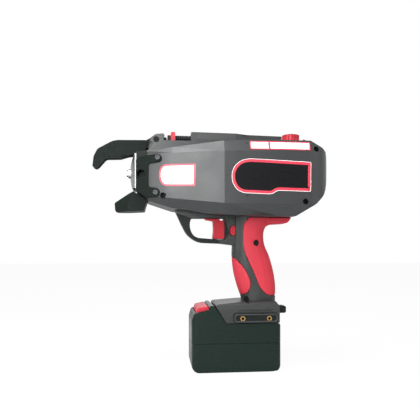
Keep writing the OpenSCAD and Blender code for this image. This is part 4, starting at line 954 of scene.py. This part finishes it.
class TOOL_OT_reel_bay(bpy.types.Operator):
    """Models the reel cover with its ring and spokes, the spool and its wound wire"""
    bl_idname = "tool.reel_bay"
    bl_label = "Reel bay"
    bl_options = {"REGISTER", "UNDO"}

    def execute(self, context):
        looks = context.scene.tool_looks
        finish_of = finishes(looks)
        softened("reel_cover", looks.cover_round, finish_of["black_plastic"], "black_plastic")
        softened("reel_spool", looks.spool_round, finish_of["black_plastic"], "black_plastic")
        low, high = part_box("reel_wire")
        middle = (low + high) / 2
        wire = looks.tie_wire
        turns = int((high.y - low.y - wire) / wire)
        wound = coil("wound_wire", wire, radius=(high.z - low.z - wire) / 2,
                     pitch=(high.y - low.y - wire) / turns, turns=turns, steps=48, axis="Y")
        moved(wound, (middle.x, low.y + wire / 2, middle.z))
        smooth(wound)
        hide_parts("reel_wire")
        finish(wound, "reel", "steel", finish_of["tie_wire"])
        self.relief(looks, finish_of["black_plastic"])
        return {"FINISHED"}

    def relief(self, looks, material):
        """A raised ring and spokes on the cover's face."""
        low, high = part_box("reel_spool")
        middle = (low + high) / 2
        face = looks.cover_face
        bpy.ops.object.select_all(action="DESELECT")
        bpy.ops.mesh.primitive_plane_add(
            size=1.0, location=(middle.x + looks.cover_ring, face, middle.z))
        bpy.ops.transform.resize(value=(looks.cover_bead, looks.cover_bead, 1.0))
        ring = named("cover_relief")
        edit(ring, "EDGE")
        bpy.ops.mesh.select_all(action="SELECT")
        bpy.ops.mesh.spin(steps=72, angle=2 * math.pi, center=(middle.x, 0.0, middle.z),
                          axis=(0, 1, 0))
        bpy.ops.mesh.select_all(action="SELECT")
        bpy.ops.mesh.remove_doubles(threshold=0.01 * MM)
        bpy.ops.mesh.delete_loose()
        bpy.ops.mesh.select_all(action="SELECT")
        bpy.ops.mesh.normals_make_consistent(inside=False)
        reach = looks.spoke_reach * looks.cover_ring
        for spoke in range(looks.cover_spokes):
            angle = 2 * math.pi * spoke / looks.cover_spokes
            place = (middle.x + reach * math.cos(angle), face, middle.z + reach * math.sin(angle))
            bpy.ops.mesh.primitive_cube_add(size=1.0, location=place)
            bpy.ops.transform.resize(value=(reach, looks.spoke_height, looks.spoke_width))
            bpy.ops.transform.rotate(value=angle, orient_axis="Y", center_override=place)
        bpy.ops.mesh.select_all(action="DESELECT")
        bpy.ops.mesh.edges_select_sharp(sharpness=math.radians(40))
        bpy.ops.mesh.bevel(
            offset=looks.relief_round, segments=2, affect="EDGES", clamp_overlap=True)
        done_editing()
        smooth(ring)
        finish(ring, "reel_cover", "black_plastic", material)


def decal(name, corners, bands, looks, materials, split=None):
    """A thin blank decal on the left side.

    Corners are (x, z, radius) and bands the widths of its printed borders, in mm;
    split is the x of a dividing bar.
    """
    bpy.ops.object.select_all(action="DESELECT")
    bpy.ops.mesh.primitive_circle_add(
        vertices=len(corners), radius=20 * MM, fill_type="NGON", rotation=(math.pi / 2, 0, 0))
    piece = named(name)
    for material in materials:
        piece.data.materials.append(material)
    for vert, (x, z, _) in zip(piece.data.vertices, corners):
        vert.co = (x * MM, DECAL_START * MM, z * MM)
    edit(piece, "VERT")
    for x, z, radius in corners:
        if radius:
            place = Vector((x * MM, DECAL_START * MM, z * MM))
            pick(piece, "VERT", lambda vert: (vert.co - place).length < 0.01 * MM)
            bpy.ops.mesh.bevel(offset=radius * MM, segments=8, affect="VERTICES")
    bpy.ops.mesh.select_mode(type="FACE")
    bpy.ops.mesh.select_all(action="SELECT")
    if split is not None:
        bpy.ops.mesh.bisect(plane_co=(split * MM, 0, 0), plane_no=(1, 0, 0))
        bpy.ops.mesh.select_all(action="SELECT")
    for index, width in enumerate(bands, start=1):
        bpy.ops.mesh.inset(thickness=width * MM, use_individual=split is not None)
        piece.active_material_index = index
        bpy.ops.object.material_slot_assign()
    xs = [corner[0] for corner in corners]
    zs = [corner[1] for corner in corners]
    for axis, low, high in (((1, 0, 0), min(xs), max(xs)), ((0, 0, 1), min(zs), max(zs))):
        count = int((high - low) / DECAL_GRID)
        for step in range(1, count):
            cut = (low + (high - low) * step / count) * MM
            bpy.ops.mesh.select_all(action="SELECT")
            bpy.ops.mesh.bisect(plane_co=[part * cut for part in axis], plane_no=axis)
    bpy.ops.mesh.select_all(action="SELECT")
    mesh = bmesh.from_edit_mesh(piece.data)
    if sum(face.normal.y for face in mesh.faces) > 0:
        bpy.ops.mesh.flip_normals()
    done_editing()
    apply_modifier(
        piece, "SHRINKWRAP", wrap_method="PROJECT", use_project_y=True,
        use_positive_direction=True, use_negative_direction=False,
        target=bpy.data.objects["left_housing_shell"])
    if any(abs(vert.co.y - DECAL_START * MM) < MM for vert in piece.data.vertices):
        raise RuntimeError(f"{name} runs over the edge of the housing")
    apply_modifier(piece, "SOLIDIFY", thickness=looks.decal_thickness, offset=1.0)
    activate(piece)
    bpy.ops.object.shade_smooth_by_angle(angle=math.radians(20))
    return finish(piece, "tool", None, *materials)


class TOOL_OT_decals(bpy.types.Operator):
    """Lays the three blank decals on the left side"""
    bl_idname = "tool.decals"
    bl_label = "Decals"
    bl_options = {"REGISTER", "UNDO"}

    def execute(self, context):
        looks = context.scene.tool_looks
        finish_of = finishes(looks)
        white, red, black = (finish_of[name] for name in (
            "white_vinyl", "red_vinyl", "black_vinyl"))
        decal("side_badge", [
            (10.9, 253.1, 6), (87.6, 249.9, 2), (87.2, 214.6, 2), (46.8, 215.5, 3),
            (40.1, 211.0, 3), (3.4, 212.3, 6), (-4.6, 219.2, 6), (-8.1, 228.8, 6),
            (-6.9, 240.5, 6), (0.5, 249.4, 6)], [0.6, 3.2], looks, [white, red, black])
        decal("front_sticker", [
            (-88.0, 246.0, 4), (-49.6, 246.5, 1.5), (-50.2, 220.3, 1.5), (-87.6, 220.6, 4),
            (-92.2, 228.0, 4), (-92.4, 239.0, 4)], [2.1], looks, [red, white])
        decal("upper_strip", [
            (14.6, 274.6, 0.8), (87.4, 274.4, 0.8), (87.0, 263.9, 0.8), (14.6, 264.0, 0.8)],
            [1.1], looks, [red, white], split=37.7)
        return {"FINISHED"}


class TOOL_OT_fittings(bpy.types.Operator):
    """Models the hook plates with their rims, the strap lug and the window panels"""
    bl_idname = "tool.fittings"
    bl_label = "Fittings"
    bl_options = {"REGISTER", "UNDO"}

    def execute(self, context):
        looks = context.scene.tool_looks
        finish_of = finishes(looks)
        # The hook plate is housing plastic; its black finish is painted shade in the recess inside
        # its rim.
        softened("hook_plates", looks.hook_plate_round, finish_of["black_plastic"],
                 "housing_plastic")
        low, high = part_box("hook_plates")
        for name, outer in (("left_plate_rim", low.y), ("right_plate_rim", high.y)):
            finish(self.rim(name, low, high, outer, looks), "tool", "housing_plastic",
                   finish_of["housing_plastic"])
        softened("strap_lug", looks.lug_round, finish_of["black_plastic"], "black_plastic")
        softened("top_panels", looks.panel_round, finish_of["panel_grey"], "black_plastic")
        return {"FINISHED"}

    def rim(self, name, low, high, outer, looks):
        """A raised, rounded rim on the outer face of one hook plate."""
        middle = Vector(((low.x + high.x) / 2, outer, (low.z + high.z) / 2))
        bpy.ops.object.select_all(action="DESELECT")
        bpy.ops.mesh.primitive_plane_add(
            size=1.0, location=middle, rotation=(math.copysign(math.pi / 2, -outer), 0, 0))
        piece = named(name)
        edit(piece, "VERT")
        bpy.ops.mesh.select_all(action="SELECT")
        bpy.ops.transform.resize(
            value=(high.x - low.x - looks.rim_width, 1.0, high.z - low.z - looks.rim_width),
            center_override=middle)
        bpy.ops.mesh.bevel(offset=looks.rim_round, segments=8, affect="VERTICES")
        bpy.ops.mesh.select_mode(type="FACE")
        bpy.ops.mesh.select_all(action="SELECT")
        bpy.ops.mesh.inset(thickness=looks.rim_width)
        bpy.ops.mesh.delete(type="FACE")
        done_editing()
        apply_modifier(piece, "SOLIDIFY", thickness=looks.rim_height, offset=1.0)
        apply_modifier(piece, "BEVEL", width=0.3 * looks.rim_width, segments=3,
                       limit_method="ANGLE", angle_limit=math.radians(40))
        smooth(piece)
        return piece


class TOOL_OT_mechanism(bpy.types.Operator):
    """Gives the CAD pieces their finish, for those that stay shown"""
    bl_idname = "tool.mechanism"
    bl_label = "Mechanism"
    bl_options = {"REGISTER", "UNDO"}

    def execute(self, context):
        finish_of = finishes(context.scene.tool_looks)
        for name, node in NODES.items():
            node.data.materials.clear()
            node.data.materials.append(finish_of[FINISH_OF_NODE.get(name, "steel")])
        return {"FINISHED"}


# Finishes of the CAD pieces that aren't plain steel
FINISH_OF_NODE = {
    # housing_screws take the near-black oxide as painted shade for their deep recesses.
    "housing_screws": "dark_steel", "latch_rod": "dark_steel", "guide_pin": "dark_steel",
    "nose_screws": "screw_steel", "nose_frame": "black_plastic", "tie_wire": "tie_wire",
    "hook_inserts": "brass", "bay_wall": "black_plastic", "reel_spindle": "black_plastic",
    "main_board": "circuit_board", "board_components": "black_plastic",
    "dial_pot": "black_plastic", "trigger_switch": "black_plastic",
    "terminal_block": "black_plastic", "power_cables": "cable_red",
    "pack_cells": "red_plastic", "solenoid": "copper",
    "feed_bracket": "dark_steel", "wire_guide": "brass", "twist_motor": "dark_steel",
    "feed_motor": "dark_steel", "gearbox_case": "dark_steel",
}

PIECES = [
    TOOL_OT_housing, TOOL_OT_decals, TOOL_OT_grips, TOOL_OT_nose, TOOL_OT_guides,
    TOOL_OT_latch_spring, TOOL_OT_dial, TOOL_OT_controls, TOOL_OT_battery, TOOL_OT_reel_bay,
    TOOL_OT_fittings, TOOL_OT_mechanism,
]


class TOOL_PT_panel(bpy.types.Panel):
    """Lists the stage and the pieces of the tool"""
    bl_idname = "TOOL_PT_panel"
    bl_label = "Tying Tool"
    bl_space_type = "VIEW_3D"
    bl_region_type = "UI"
    bl_category = "Tying Tool"

    def draw(self, context):
        for kind in (TOOL_OT_stage, *PIECES):
            self.layout.operator(kind.bl_idname)


CLASSES = [ToolLooks, StageLooks, TOOL_OT_stage, *PIECES, TOOL_PT_panel]


def register():
    """Registers the settings, the operators and the panel."""
    for kind in CLASSES:
        bpy.utils.register_class(kind)
    bpy.types.Scene.tool_looks = bpy.props.PointerProperty(type=ToolLooks)
    bpy.types.Scene.stage_looks = bpy.props.PointerProperty(type=StageLooks)


def unregister():
    """Takes them away again."""
    del bpy.types.Scene.stage_looks
    del bpy.types.Scene.tool_looks
    for kind in reversed(CLASSES):
        bpy.utils.unregister_class(kind)


def main():
    register()
    bpy.ops.tool.stage()
    bpy.ops.tool.housing()
    bpy.ops.tool.decals()
    bpy.ops.tool.grips()
    bpy.ops.tool.nose()
    bpy.ops.tool.guides()
    bpy.ops.tool.latch_spring()
    bpy.ops.tool.dial()
    bpy.ops.tool.controls()
    bpy.ops.tool.battery()
    bpy.ops.tool.reel_bay()
    bpy.ops.tool.fittings()
    bpy.ops.tool.mechanism()


if __name__ == "__main__":
    main()
